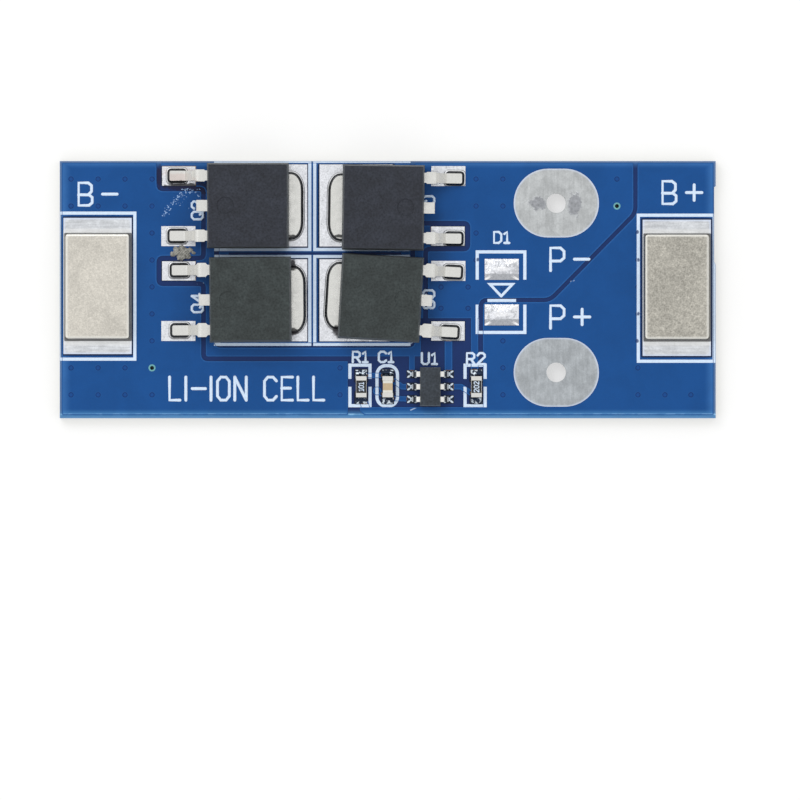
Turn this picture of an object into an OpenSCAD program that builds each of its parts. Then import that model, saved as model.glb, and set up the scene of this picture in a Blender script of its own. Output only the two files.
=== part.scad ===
// Protection board for one lithium cell: a two-layer circuit board that carries four power
// transistors, one protection chip, three small chip parts, two nickel weld blocks and two wire lands.
// +X runs along the board to the B+ end, +Y across it to the P- land, +Z up from the component side.
// The origin is under the middle of the board, level with the undersides of its tinned lands.

/* [Board] */
// Length of the board, along X
board_length = 50; // [50:0.5:54]
// Width of the board, along Y
board_width = 19.6; // [19.6:0.1:21]
// Thickness of the glass-fibre laminate
core_thickness = 0.84; // [0.5:0.02:1.5]
// Thickness of the plated copper on each side
copper_thickness = 0.05; // [0.04:0.005:0.07]
// Thickness of the blue solder mask
mask_thickness = 0.03; // [0.02:0.005:0.04]
// Thickness of the white printed outlines
print_thickness = 0.02; // [0.01:0.005:0.03]
// Height of the tinned lands above their copper
tin_thickness = 0.06; // [0.05:0.005:0.09]
// Bare border between the copper and the P+ edge of the board
edge_margin = 0.32; // [0.26:0.01:0.34]
// Bare border between the copper and the P- edge of the board
far_margin = 0.2; // [0.16:0.01:0.22]
// Bare border between the copper and the ends of the board
end_margin = 0.24; // [0.2:0.01:0.25]
// Depth of the shallow break-off recess in the B+ end
recess_depth = 0.12; // [0.05:0.01:0.14]

/* [Copper] */
// Width of the etched gaps round the gate tracks
gate_gap = 0.5; // [0.3:0.01:0.52]
// Width of the etched gap between the P- and B+ copper
pour_gap = 0.46; // [0.3:0.01:0.55]
// Bore of the small plated holes that join both sides
via_bore = 0.3; // [0.24:0.01:0.34]
// Thickness of the plating in every hole
plating = 0.025; // [0.02:0.005:0.04]
// Spacing of the plated holes that stand in rows
via_pitch = 2.056; // [2.03:0.002:2.07]

/* [Terminals] */
// Bore of the holes through the four large lands
terminal_bore = 1.5; // [1.2:0.05:1.8]
// Overall length of the round-ended P- and P+ lands
wire_land_length = 6.5; // [6:0.1:6.8]
// Width of the P- and P+ lands
wire_land_width = 5.24; // [4.8:0.02:5.4]
// Size of the B- and B+ lands along X
weld_land_x = 5.2; // [5.1:0.02:5.2]
// Size of the B- and B+ lands along Y
weld_land_y = 10.38; // [9:0.02:10.6]
// Size of the nickel blocks along X
block_x = 5; // [4:0.1:5]
// Size of the nickel blocks along Y
block_y = 8.1; // [6:0.1:8.4]
// Thickness of the nickel blocks
block_thickness = 0.8; // [0.6:0.05:1.2]
// Radius of the rounded edges of the nickel blocks
block_edge = 0.22; // [0.1:0.02:0.28]

/* [Power transistors] */
// Length of the moulding, from its lead side to its tab side
package_length = 6.24; // [5.9:0.02:6.26]
// Width of the moulding
package_width = 6.5; // [6.2:0.05:6.55]
// Height of the moulding
package_height = 2.28; // [2.1:0.02:2.4]
// Thickness of the leadframe
frame_thickness = 0.5; // [0.4:0.02:0.55]
// Height of the underside of the leads where they leave the moulding
lead_height = 0.86; // [0.7:0.02:1]
// Distance from the moulding to the tip of a lead
lead_reach = 2.85; // [2.6:0.05:3]
// Width of a lead at its foot
foot_width = 0.76; // [0.6:0.02:0.84]
// Bend angle of the leads
lead_angle = 48; // [45:1:60]
// Width of the drain tab
tab_width = 4.8; // [4.4:0.1:5]
// How far the drain tab stands out of the moulding
tab_reach = 0.9; // [0.8:0.02:1]

/* [Small parts] */
// Length of the two resistors and the capacitor
chip_length = 1.6; // [1.5:0.02:1.64]
// Width of the two resistors and the capacitor
chip_width = 0.8; // [0.7:0.02:0.84]
// Height of the resistors
resistor_height = 0.45; // [0.4:0.01:0.55]
// Height of the capacitor
capacitor_height = 0.78; // [0.6:0.02:0.85]
// Height of the protection chip above its feet
chip_body_top = 1.15; // [1:0.05:1.3]
// Width of a foot of the protection chip
chip_lead_width = 0.4; // [0.3:0.02:0.44]

/* [Hidden] */
$fn = 40;
far = 30;  // reaches past the board from anywhere on it
cut = 1;   // how far a cutting shape runs past what it cuts

// Heights of the layers, from the undersides of the lands upwards
z_copper_low = tin_thickness;
z_mask_low = z_copper_low - mask_thickness;
z_core_low = z_copper_low + copper_thickness;
z_core_high = z_core_low + core_thickness;
z_copper_high = z_core_high + copper_thickness;
z_mask_high = z_copper_high + mask_thickness;
z_tin_high = z_copper_high + tin_thickness;
seat_gap = 0.04;                       // solder left under every soldered foot
z_seat = z_tin_high + seat_gap;

// Places of the terminals
terminal_y = 0.15;                     // middle line of the four lands
wire_land_x = 12.85;
wire_hole_spacing = 12.9;
weld_land_inset = 2.925;               // from the end of the board to the middle of its land
weld_x = board_length / 2 - weld_land_inset;
b_minus_at = [-weld_x - 0.045, terminal_y + 0.13];
b_plus_at = [weld_x - 0.045, terminal_y - 0.01];
p_minus_at = [wire_land_x, terminal_y + wire_hole_spacing / 2];
p_plus_at = [wire_land_x, terminal_y - wire_hole_spacing / 2];
b_minus_block_at = b_minus_at + [0, -0.03];    // the blocks sit a little off the middles of their lands
b_plus_block_at = b_plus_at + [0, 0.07];

// Footprints of the transistors: leads point away from the middle pair of drain pads
lead_pitch = 4.58;
row_high = 6.37;
row_low = -0.86;
column_left = -10.66;
column_right = -0.68;
source_pad = [2.6, 1.52];
gate_pad = [2.54, 1.46];
lead_pad_inner = -4;                   // inner ends of the two small pads
drain_pad = [5.6, 6.25];
drain_pad_edge = 4.52;
drain_pad_shift = 0.05;                // towards the P- edge
pad_window = 0.05;                     // mask held clear round a pad that stands alone

// Each transistor: footprint x, footprint y, direction, then its own small shift and turn as
// it was soldered, and the width of its lead shoulders
Q1 = [column_right, row_high, 180, 0.345, -0.13, -0.7, 0.9];
Q2 = [column_left, row_high, 0, 0.015, 0.01, 0, 0.92];
Q3 = [column_right, row_low, 180, 0.155, 0.22, -3.3, 1.04];
Q4 = [column_left, row_low, 0, 0.205, 0.09, 0.5, 1.06];
TRANSISTORS = [Q1, Q2, Q3, Q4];
GATE = 1;
SOURCE = -1;

parting_height = lead_height + frame_thickness / 2;
draft_low = 0.1;
draft_high = 0.14;
tab_corner = [0.72, 1.14];             // how far the tab's round corners reach along X and along Y
tab_inner_end = -1.5;
frame_root = -2.25;                    // inner end of the leads, inside the moulding
stub_reach = 0.8;
stub_width = 0.85;
shoulder_reach = 0.86;
bend_radius = 0.5;                     // to the middle of the strip
bend_start = -package_length / 2 - 0.56;
neck_reach = 0.12;                     // the narrow start of a lead, before its broad shoulder
ejector_mark = [-1.7, 0, 1.3, 0.06];   // x, y, diameter and depth

// Places of the small parts
part_y = -7.4;
r1_x = -2.02;
c1_x = 0;
u1_x = 3.24;
r2_x = 6.76;
chip_pad = [0.86, 0.86];
chip_pad_offset = 0.86;
u1_pad = [0.72, 0.54];
u1_pad_offset = 1.4;
u1_pitch = 0.96;
u1_span = 2.8;
u1_width = 1.58;
u1_length = 2.96;
u1_strip = 0.15;
d1_at = [8.69, -0.19];
d1_pad = [2.6, 1.6];
d1_pad_offset = 1.735;
cap_thickness = 0.03;
cap_length = 0.32;

// Plated holes in rows: [x, first row, last row], with row 0 nearest the P- edge
VIA_COLUMNS = [
    [-17.97, 0, 8], [-24.14, 0, 1], [-22.08, 0, 1], [-20.03, 0, 1],
    [-24.14, 7, 8], [-22.08, 7, 8], [-20.03, 7, 8], [-3.64, 7, 8],
    [6.73, 0, 3], [8.78, 0, 4], [8.78, 6, 8], [17.47, 0, 1],
    [19.07, 2, 8], [21.13, 8, 8], [23.11, 8, 8]
];
via_row_0 = 8.43;
VIA_ROWS = [for (c = VIA_COLUMNS) for (r = [c[1] : c[2]]) [c[0], via_row_0 - r * via_pitch]];
PART_VIA = [-0.8, -7.72];                // stands beside the capacitor
VIA_SINGLES = [[4.06, 0.2], [6.12, 0.2], [4.06, -1.42], [6.12, -1.42], [2.46, 8.3], PART_VIA];
VIAS = concat(VIA_ROWS, VIA_SINGLES);
OPEN_VIAS = [[-17.97, via_row_0 - 7 * via_pitch], [17.47, via_row_0 - via_pitch]];
via_radius = via_bore / 2;
open_via_land = 0.27;                  // radius of the bare ring round an open plated hole

// ---- Shapes used by several layers ----

function unit(v) = v / norm(v);
function left_of(v) = [-v[1], v[0]];

// A point beside corner i of a path, at distance d to its left
function beside(path, i, d) =
    let(last = len(path) - 1,
        before = unit(path[max(i, 1)] - path[max(i, 1) - 1]),
        after = unit(path[min(i, last - 1) + 1] - path[min(i, last - 1)]),
        m = left_of(before) + left_of(after))
    path[i] + m * (2 * d / (m * m));

// A path with its corners rounded, each by a short curve that starts r before the corner
function rounded(path, r) = concat(
    [path[0]],
    [for (i = [1 : len(path) - 2])
        let(p = path[i] + unit(path[i - 1] - path[i]) * r, q = path[i] + unit(path[i + 1] - path[i]) * r)
            for (s = [0 : 0.25 : 1]) (1 - s) * (1 - s) * p + 2 * s * (1 - s) * path[i] + s * s * q],
    [path[len(path) - 1]]);

// The outline of a track of width w along a path, with every side moved out by spread
module track(path, w, spread = 0) {
    n = len(path) - 1;
    p = concat([path[0] + unit(path[0] - path[1]) * spread],
               n > 1 ? [for (i = [1 : n - 1]) path[i]] : [],
               [path[n] + unit(path[n] - path[n - 1]) * spread]);
    polygon(concat([for (i = [0 : n]) beside(p, i, w / 2 + spread)],
                   [for (i = [n : -1 : 0]) beside(p, i, -w / 2 - spread)]));
}

module layer(z, thickness) {
    translate([0, 0, z]) linear_extrude(height = thickness) children();
}

module pad_shape(at, size, spread = 0) {
    translate(at) square([size[0] + 2 * spread, size[1] + 2 * spread], center = true);
}

// A rectangle with round corners, centred
module round_rect(size, r) {
    square([size[0] - 2 * r, size[1]], center = true);
    square([size[0], size[1] - 2 * r], center = true);
    for (x = [-1, 1], y = [-1, 1])
        translate([x * (size[0] / 2 - r), y * (size[1] / 2 - r)]) circle(r = r);
}

module wire_land_shape() {
    half = (wire_land_length - wire_land_width) / 2;
    square([2 * half, wire_land_width], center = true);
    for (side = [-1, 1]) translate([side * half, 0]) circle(d = wire_land_width, $fn = 80);
}

module terminal_shapes() {
    for (at = [p_minus_at, p_plus_at]) translate(at) wire_land_shape();
    for (at = [b_minus_at, b_plus_at]) pad_shape(at, [weld_land_x, weld_land_y]);
}

module board_shape() {
    recess_y = [1.9, 7.9];
    difference() {
        square([board_length, board_width], center = true);
        translate([board_length / 2 - recess_depth, recess_y[0]])
            polygon([[0, 0.25], [recess_depth, 0], [recess_depth + cut, 0],
                     [recess_depth + cut, recess_y[1] - recess_y[0]],
                     [recess_depth, recess_y[1] - recess_y[0]], [0, recess_y[1] - recess_y[0] - 0.1]]);
    }
}

// Moves children, drawn round a transistor footprint, to the footprint of transistor q
module at_footprint(q) {
    translate([q[0], q[1]]) rotate(q[2]) children();
}

// Moves children, drawn round a transistor that stands on z = 0, to where q sits
module at_transistor(q) {
    translate([q[0] + q[3], q[1] + q[4], z_seat]) rotate([0, 0, q[2] + q[5]]) children();
}

module lead_pad_shape(q, side, spread = 0) {
    pad = side == GATE ? gate_pad : source_pad;
    at_footprint(q) pad_shape([lead_pad_inner - pad[0] / 2, side * lead_pitch / 2], pad, spread);
}

module drain_pad_shape(q) {
    translate([0, drain_pad_shift]) at_footprint(q)
        pad_shape([drain_pad_edge - drain_pad[0] / 2, 0], drain_pad);
}

// Pads of a part with two end caps, along Y
module chip_pads(x, spread = 0) {
    for (side = [-1, 1]) pad_shape([x, part_y + side * chip_pad_offset], chip_pad, spread);
}

module u1_pads(spread = 0) {
    for (side = [-1, 1], k = [-1, 0, 1])
        pad_shape([u1_x + side * u1_pad_offset, part_y + k * u1_pitch], u1_pad, spread);
}

module d1_pads() {
    for (side = [-1, 1]) pad_shape([d1_at[0], d1_at[1] + side * d1_pad_offset], d1_pad);
}

// Everything that the mask leaves bare on the component side
module bare_top() {
    terminal_shapes();
    for (q = TRANSISTORS) {
        lead_pad_shape(q, SOURCE);
        lead_pad_shape(q, GATE, pad_window);
        drain_pad_shape(q);
    }
    for (x = [r1_x, c1_x, r2_x]) chip_pads(x, pad_window);
    u1_pads(pad_window);
    d1_pads();
    for (at = OPEN_VIAS) translate(at) circle(r = open_via_land);
}

// ---- Etched copper ----

// The gaps follow the edges of the gate pads
function pad_edge(row, side, edge) = row + side * lead_pitch / 2 + edge * (gate_pad[1] + gate_gap) / 2;
gate_left_x = column_left + lead_pad_inner - gate_pad[0] - gate_gap / 2;
gate_right_x = column_right - lead_pad_inner + gate_pad[0] + gate_gap / 2;
gate_top = pad_edge(row_high, -1, 1);
gate_low = pad_edge(row_high, -1, -1);
window_left = -3.11;
window_right = 7.1;
window_low = -9.02;
trunk_low = -5.02;                     // lower side of the gate track under the transistors
window_gate = -2.12;
trunk_x = 2.46;
GATE_GAP_LEFT = [
    [gate_left_x, far], [gate_left_x, pad_edge(row_high, 1, -1)], [-14.04, pad_edge(row_high, 1, -1)],
    [-14.04, pad_edge(row_low, 1, 1)], [gate_left_x, pad_edge(row_low, 1, 1)],
    [gate_left_x, pad_edge(row_low, 1, -1)], [-14.04, pad_edge(row_low, 1, -1)],
    [-14.04, trunk_low - gate_gap / 2], [window_left + 0.5, trunk_low - gate_gap / 2]
];
GATE_GAP_RIGHT = [
    [1.9, gate_top], [gate_right_x, gate_top], [gate_right_x, gate_low], [2.88, gate_low],
    [2.88, window_gate - 0.3]
];
GATE_GAP_MIDDLE = [[-13.05, far], [-13.05, -4.24], [1.9, -4.24], [1.9, far]];
ROW_SLOT = [[-12.2, 2.76], [1.1, 2.76]];
row_slot_width = 0.3;
POUR_GAP = [
    [window_right, window_gate - 0.5], [window_right, -0.79], [12.37, -0.79], [18.88, 5.84], [18.88, far]
];
BOTTOM_GAP_ACROSS = [[1.83, -far], [1.83, far]];
BOTTOM_GAP_LONG = [[1.83, -2.4], [10.88, -2.4], [18.93, 5.61], [18.93, far]];

// The etched gaps, each side of which moves in by spread
module gaps_top(spread = 0) {
    for (path = [GATE_GAP_LEFT, GATE_GAP_MIDDLE, GATE_GAP_RIGHT])
        track(rounded(path, 0.34), gate_gap, -spread);
    track(ROW_SLOT, row_slot_width, -spread);
    track(rounded(POUR_GAP, 0.5), pour_gap, -spread);
}

module gaps_bottom(spread = 0) {
    track(BOTTOM_GAP_ACROSS, gate_gap, -spread);
    track(rounded(BOTTOM_GAP_LONG, 0.5), pour_gap, -spread);
}

// The area under the small parts, where only tracks and pads are left
module small_part_window(spread = 0) {
    right = window_right + pour_gap / 2 - spread;
    polygon([
        [window_left + spread, -far], [window_left + spread, trunk_low - spread],
        [trunk_x + spread, trunk_low - spread], [trunk_x + spread, window_gate - spread],
        [right, window_gate - spread], [right, window_low + spread],
        [-2.05 - spread, window_low + spread], [-2.05 - spread, -9.2 - spread / 2],
        [-1.7 - spread, -9.55 - spread / 2], [-1.7 - spread, -far]
    ]);
}

// Tracks that cross the window
module window_tracks(spread = 0) {
    pin = [u1_x - u1_pad_offset, u1_x + u1_pad_offset];
    track([[2.3, -3.15], [3.6, -3.15]], 0.5, spread);
    track([[4.63, -3.15], [4.63, part_y + u1_pitch]], 0.44, spread);
    track([[6.62, window_gate + 0.2], [6.62, part_y + chip_pad_offset]], 0.42, spread);
    track([[pin[1], part_y], [5.6, part_y], [r2_x, part_y - 0.75]], 0.28, spread);
    track([[pin[0], part_y], [1.1, part_y], [c1_x, part_y + 0.75]], 0.28, spread);
    track([[pin[0], trunk_low + 0.2], [pin[0], part_y + u1_pitch]], 0.3, spread);
    track([[r1_x, part_y + chip_pad_offset], [c1_x, part_y + chip_pad_offset]], 0.25, spread);
    track([PART_VIA, [c1_x, part_y - chip_pad_offset], [pin[0], part_y - u1_pitch]], 0.25, spread);
    track([[r1_x + 0.12, part_y - chip_pad_offset], [r1_x + 0.4, window_low - 0.2]], 0.5, spread);
    translate(PART_VIA) circle(r = 0.25 + spread);
}

module copper_area(spread) {
    corner = [end_margin - board_length / 2, edge_margin - board_width / 2];
    size = [board_length - 2 * end_margin, board_width - edge_margin - far_margin];
    translate(corner - [spread, spread]) square(size + [2, 2] * spread);
}

// Copper under the mask on the component side, each side of which moves out by spread
module masked_copper_top(spread = 0) {
    difference() {
        copper_area(spread);
        gaps_top(spread);
        small_part_window(spread);
    }
    window_tracks(spread);
}

module masked_copper_bottom(spread = 0) {
    difference() {
        copper_area(spread);
        gaps_bottom(spread);
    }
}

module via_discs(places, r) {
    for (at = places) translate(at) circle(r = r, $fn = 20);
}

module terminal_discs(r) {
    for (at = [p_minus_at, p_plus_at, b_minus_at, b_plus_at]) translate(at) circle(r = r);
}

module laminate() {
    color([0.55, 0.6, 0.45]) layer(z_core_low, core_thickness) difference() {
        board_shape();
        terminal_discs(terminal_bore / 2 + plating);
        via_discs(VIAS, via_radius + plating);
    }
}

module copper_top() {
    color([0.72, 0.45, 0.2]) layer(z_core_high, copper_thickness) difference() {
        union() {
            masked_copper_top();
            for (q = TRANSISTORS) lead_pad_shape(q, GATE);
            for (x = [r1_x, c1_x, r2_x]) chip_pads(x);
            u1_pads();
        }
        terminal_discs(terminal_bore / 2 + plating);
        via_discs(VIAS, via_radius + plating);
    }
}

module copper_bottom() {
    color([0.72, 0.45, 0.2]) layer(z_copper_low, copper_thickness) difference() {
        masked_copper_bottom();
        terminal_discs(terminal_bore / 2 + plating);
        via_discs(VIAS, via_radius + plating);
    }
}

// The plating of every small hole, and the bare rings of the two open ones
module via_barrels() {
    color([0.75, 0.6, 0.4]) {
        layer(z_copper_low, z_copper_high - z_copper_low) difference() {
            via_discs(VIAS, via_radius + plating);
            via_discs(VIAS, via_radius);
        }
        for (z = [z_mask_low, z_copper_high]) layer(z, mask_thickness) difference() {
            via_discs(OPEN_VIAS, open_via_land);
            via_discs(OPEN_VIAS, via_radius);
        }
    }
}

// The mask follows the copper: it is high over it, low in the gaps, and sinks a little into
// each plated hole that it closes
TENTED = [for (v = VIAS) if (norm(v - OPEN_VIAS[0]) > 0.1 && norm(v - OPEN_VIAS[1]) > 0.1) v];
D1_VIA = [8.78, via_row_0 - 3 * via_pitch];
TENTED_TOP = [for (v = TENTED) if (norm(v - D1_VIA) > 0.1) v];
tent_depth = 0.03;

module tent_plugs(places) {
    for (at = places) translate([at[0], at[1], z_core_high - tent_depth])
        cylinder(r = via_radius, h = tent_depth + copper_thickness + mask_thickness / 2, $fn = 20);
}

module tent_dimples(places) {
    depth = mask_thickness + tent_depth / 2;
    for (at = places) translate([at[0], at[1], z_mask_high - depth])
        cylinder(r1 = via_radius / 2, r2 = via_radius + 0.02, h = depth + 0.002, $fn = 20);
}

module solder_mask_top() {
    color([0.13, 0.31, 0.56]) difference() {
        union() {
            layer(z_core_high, mask_thickness) board_shape();
            layer(z_core_high, copper_thickness + mask_thickness) masked_copper_top(mask_thickness);
            tent_plugs(TENTED_TOP);
        }
        layer(z_core_high - cut, copper_thickness + cut) difference() {
            masked_copper_top();
            via_discs(TENTED_TOP, via_radius);
        }
        layer(z_core_high - cut, 2 * cut) bare_top();
        tent_dimples(TENTED_TOP);
    }
}

module solder_mask_bottom() {
    color([0.13, 0.29, 0.56]) translate([0, 0, z_core_low]) mirror([0, 0, 1]) translate([0, 0, -z_core_high])
        difference() {
            union() {
                layer(z_core_high, mask_thickness) board_shape();
                layer(z_core_high, copper_thickness + mask_thickness) masked_copper_bottom(mask_thickness);
                tent_plugs(TENTED);
            }
            layer(z_core_high - cut, copper_thickness + cut) difference() {
                masked_copper_bottom();
                via_discs(TENTED, via_radius);
            }
            layer(z_core_high - cut, 2 * cut) {
                terminal_shapes();
                for (at = OPEN_VIAS) translate(at) circle(r = open_via_land);
            }
            tent_dimples(TENTED);
        }
}

// ---- Printed outlines ----

line = 0.24;
weld_frame = [6.02, 11.37];
transistor_frame_half = 3.47;
transistor_frame_shift = [-0.085, 0.045];
d1_frame_x = [-1.99, 1.88];            // its left and right sides, from the middle of its part
c1_frame = [1.8, 3.32];

// The outline of a frame whose outer size is given, with a line of width w
module frame_shape(at, size, w) {
    translate(at) difference() {
        square(size, center = true);
        square(size - [2 * w, 2 * w], center = true);
    }
}

// Three-sided frame of the transistor at q, closed on its tab side
module transistor_frame(q, reach) {
    top = transistor_frame_half;
    edge = drain_pad_edge + 0.16;
    translate(transistor_frame_shift) at_footprint(q) difference() {
        translate([-reach, -top]) square([edge + line + reach, 2 * top]);
        translate([-reach - cut, -top + line]) square([edge + reach + cut, 2 * top - 2 * line]);
    }
}

// Two U-shaped halves round a part with end caps, open at its middle
module chip_frame(x, open_y) {
    difference() {
        frame_shape([x, part_y + 0.1], [1.77, 3.33], line);
        translate([x - cut, part_y + open_y]) square([2 * cut, 0.6]);
    }
}

module d1_frame() {
    width = d1_frame_x[1] - d1_frame_x[0];
    for (side = [-1, 1]) translate(d1_at + [d1_frame_x[0], 0]) scale([1, side]) difference() {
        translate([0, 0.95]) square([width, 2.24]);
        translate([line, 0.95 - cut]) square([width - 2 * line, 2.24 + cut - line]);
    }
    translate(d1_at) {
        difference() {
            polygon([[-1.13, 0.7], [1.05, 0.7], [-0.04, -0.45]]);
            polygon([[-0.68, 0.51], [0.6, 0.51], [-0.04, -0.16]]);
        }
        translate([-1.09, -0.76]) square([2.18, 0.24]);
    }
}

// The frames, cut off a hair inside the edges of the board and at every bare place
module outline_shapes() {
    inset = 0.02;
    difference() {
        intersection() {
            all_frames();
            translate([-inset, 0]) board_shape();
            translate([inset, 0]) board_shape();
            square([board_length + cut, board_width - 2 * inset], center = true);
        }
        bare_top();
    }
}

module all_frames() {
    frame_shape(b_minus_at + [-0.05, -0.01], weld_frame, line);
    frame_shape(b_plus_at + [-0.04, -0.03], weld_frame, line);
    difference() {
        for (q = TRANSISTORS) transistor_frame(q, 2.5);
        for (q = TRANSISTORS, side = [GATE, SOURCE]) lead_pad_shape(q, side, 0.1);
    }
    chip_frame(r1_x - 0.1, 0);
    chip_frame(r2_x - 0.1, 0);
    translate([c1_x - 0.04, part_y + 0.07]) difference() {
        round_rect(c1_frame, 0.8);
        round_rect(c1_frame - [2, 2] * line, 0.8 - line);
    }
    d1_frame();
}

// The print lies high on the mask over copper, and low on it in the gaps
module printed_outlines() {
    color([0.93, 0.96, 1]) {
        layer(z_mask_high, print_thickness) intersection() {
            outline_shapes();
            masked_copper_top(mask_thickness);
        }
        layer(z_core_high + mask_thickness, print_thickness) difference() {
            outline_shapes();
            masked_copper_top(mask_thickness);
        }
    }
}

// ---- Terminals ----

// A land on each side of the board and the plated hole that joins them
module terminal(at) {
    color([0.8, 0.8, 0.8]) translate(at) difference() {
        union() {
            layer(0, tin_thickness) children();
            layer(z_copper_high, tin_thickness) children();
            cylinder(d = terminal_bore + 2 * plating, h = z_tin_high);
        }
        translate([0, 0, -cut]) cylinder(d = terminal_bore, h = z_tin_high + 2 * cut);
    }
}

module cable_land_p_minus() { terminal(p_minus_at) wire_land_shape(); }
module cable_land_p_plus() { terminal(p_plus_at) wire_land_shape(); }
module cell_land_b_minus() { terminal(b_minus_at) square([weld_land_x, weld_land_y], center = true); }
module cell_land_b_plus() { terminal(b_plus_at) square([weld_land_x, weld_land_y], center = true); }

block_solder = 0.05;
block_corner = 0.32;                   // radius of its four upright edges
z_block = z_tin_high + block_solder;

module block_film(at, hole_at) {
    color([0.72, 0.72, 0.7]) layer(z_tin_high, block_solder) difference() {
        translate(at) round_rect([block_x, block_y] - [0.1, 0.1], block_corner - 0.05);
        translate(hole_at) circle(d = terminal_bore);
    }
}

module b_minus_solder_film() { block_film(b_minus_block_at, b_minus_at); }
module b_plus_solder_film() { block_film(b_plus_block_at, b_plus_at); }

// Half of an edge-on outline with its two upper corners rounded
module rounded_top(width) {
    h = block_thickness;
    r = block_edge;
    translate([-width / 2, 0]) square([width, h - r]);
    translate([-width / 2 + r, 0]) square([width - 2 * r, h]);
    for (side = [-1, 1]) translate([side * (width / 2 - r), h - r]) circle(r = r);
}

// A stamped block: the rounded edges of its two upright outlines meet in the round corners
module nickel_block(at) {
    color([0.78, 0.76, 0.72]) translate([at[0], at[1], z_block]) intersection() {
        linear_extrude(height = block_thickness) round_rect([block_x, block_y], block_corner);
        rotate([90, 0, 0]) translate([0, 0, -block_y])
            linear_extrude(height = 2 * block_y) rounded_top(block_x);
        rotate([90, 0, 90]) translate([0, 0, -block_x])
            linear_extrude(height = 2 * block_x) rounded_top(block_y);
    }
}

module b_minus_nickel_block() { nickel_block(b_minus_block_at); }
module b_plus_nickel_block() { nickel_block(b_plus_block_at); }

// ---- Power transistors ----
// Each stands on z = 0 with its leads towards -X and its tab towards +X

// Side outline of the moulding: it narrows above and below the parting line
module draft_outline(width) {
    w = width / 2;
    polygon([[-w + draft_low, 0], [w - draft_low, 0], [w, parting_height],
             [w - draft_high, package_height], [-w + draft_high, package_height], [-w, parting_height]]);
}

module moulding() {
    intersection() {
        rotate([90, 0, 0]) translate([0, 0, -package_width]) linear_extrude(height = 2 * package_width)
            draft_outline(package_length);
        rotate([90, 0, 90]) translate([0, 0, -package_length]) linear_extrude(height = 2 * package_length)
            draft_outline(package_width);
    }
}

// Points of an arc round a centre, between two angles
bend_steps = 6;
function arc(centre, r, from, to) =
    [for (k = [0 : bend_steps]) let(a = from + (to - from) * k / bend_steps) centre + r * [cos(a), sin(a)]];

// Side outline of a strip of metal, bent down and level again. It starts at [start, 0] at the
// middle of its thickness t, and its two bends have the mean radius r
module gull_wing(start, bend_at, tip, drop, t, r, angle) {
    slope = (drop - 2 * r * (1 - cos(angle))) / sin(angle);
    foot = bend_at + 2 * r * sin(angle) + slope * cos(angle);
    high = [bend_at, -r];
    low = [foot, r - drop];
    h = t / 2;
    polygon(concat([[start, h]], arc(high, r + h, 90, 90 - angle), arc(low, r - h, 270 - angle, 270),
                   [[tip, h - drop], [tip, -h - drop]], arc(low, r + h, 270, 270 - angle),
                   arc(high, r - h, 90 - angle, 90), [[start, -h]]));
}

// Outline of a lead from above: a neck, a broad shoulder, then a narrower foot with a clipped tip
module lead_plan(shoulder) {
    edge = package_length / 2;
    knee = edge + shoulder_reach;
    tip = edge + lead_reach;
    s = shoulder / 2;
    f = foot_width / 2;
    c = 0.08;
    neck = edge + neck_reach;
    half = [[-frame_root, f], [neck, f], [neck + (s - f), s], [knee, s], [knee + (s - f), f],
            [tip - c, f], [tip, f - c]];
    polygon(concat(half, [for (i = [len(half) - 1 : -1 : 0]) [half[i][0], -half[i][1]]]));
}

module lead(side, shoulder) {
    translate([0, side * lead_pitch / 2, 0]) mirror([1, 0, 0]) intersection() {
        linear_extrude(height = package_height) lead_plan(shoulder);
        translate([0, 1, parting_height]) rotate([90, 0, 0]) linear_extrude(height = 2)
            gull_wing(-frame_root, -bend_start, package_length / 2 + lead_reach,
                      parting_height - frame_thickness / 2, frame_thickness, bend_radius, lead_angle);
    }
}

// Outline of the tab from above, with its sides moved out by spread. Its corners are oval
module tab_outline(spread = 0) {
    reach = tab_corner + [1, 1] * spread;
    middle = [package_length / 2 + tab_reach + spread, tab_width / 2 + spread] - reach;
    corner = [for (a = [0 : 15 : 90]) middle + [reach[0] * cos(a), reach[1] * sin(a)]];
    half = concat(corner, [[tab_inner_end, tab_width / 2 + spread]]);
    polygon(concat(half, [for (i = [len(half) - 1 : -1 : 0]) [half[i][0], -half[i][1]]]));
}

// The tab lies flat under the moulding, rises inside it and ends in the cropped middle lead
module drain_tab() {
    t = frame_thickness;
    stub_tip = package_length / 2 + stub_reach;
    linear_extrude(height = t) tab_outline();
    translate([0, stub_width / 2, 0]) rotate([90, 0, 0]) linear_extrude(height = stub_width)
        polygon([[-stub_tip + 0.06, lead_height], [frame_root, lead_height], [tab_inner_end - 0.1, 0.1],
                 [tab_inner_end + 0.2, 0.1], [tab_inner_end + 0.2, t], [frame_root + 0.2, lead_height + t],
                 [-stub_tip + 0.06, lead_height + t], [-stub_tip, lead_height + t - 0.06],
                 [-stub_tip, lead_height + 0.06]]);
}

module transistor_body(q) {
    color([0.22, 0.24, 0.26]) at_transistor(q) difference() {
        moulding();
        drain_tab();
        for (side = [GATE, SOURCE]) lead(side, q[6]);
        translate([ejector_mark[0], ejector_mark[1], package_height - ejector_mark[3]])
            cylinder(d = ejector_mark[2], h = cut);
    }
}

module transistor_tab(q) { color([0.8, 0.8, 0.78]) at_transistor(q) drain_tab(); }
module transistor_lead(q, side) { color([0.8, 0.8, 0.78]) at_transistor(q) lead(side, q[6]); }

foot_length = 1.1;

// Outline of what solder climbs: the tab, or a foot with its tip at x = 0, moved out by spread
module soldered_outline(kind, spread) {
    if (kind == "tab") tab_outline(spread);
    else translate([foot_length / 2, 0])
        round_rect([foot_length, foot_width] + [2, 2] * spread, 0.2 + spread / 2, $fn = 16);
}

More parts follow.
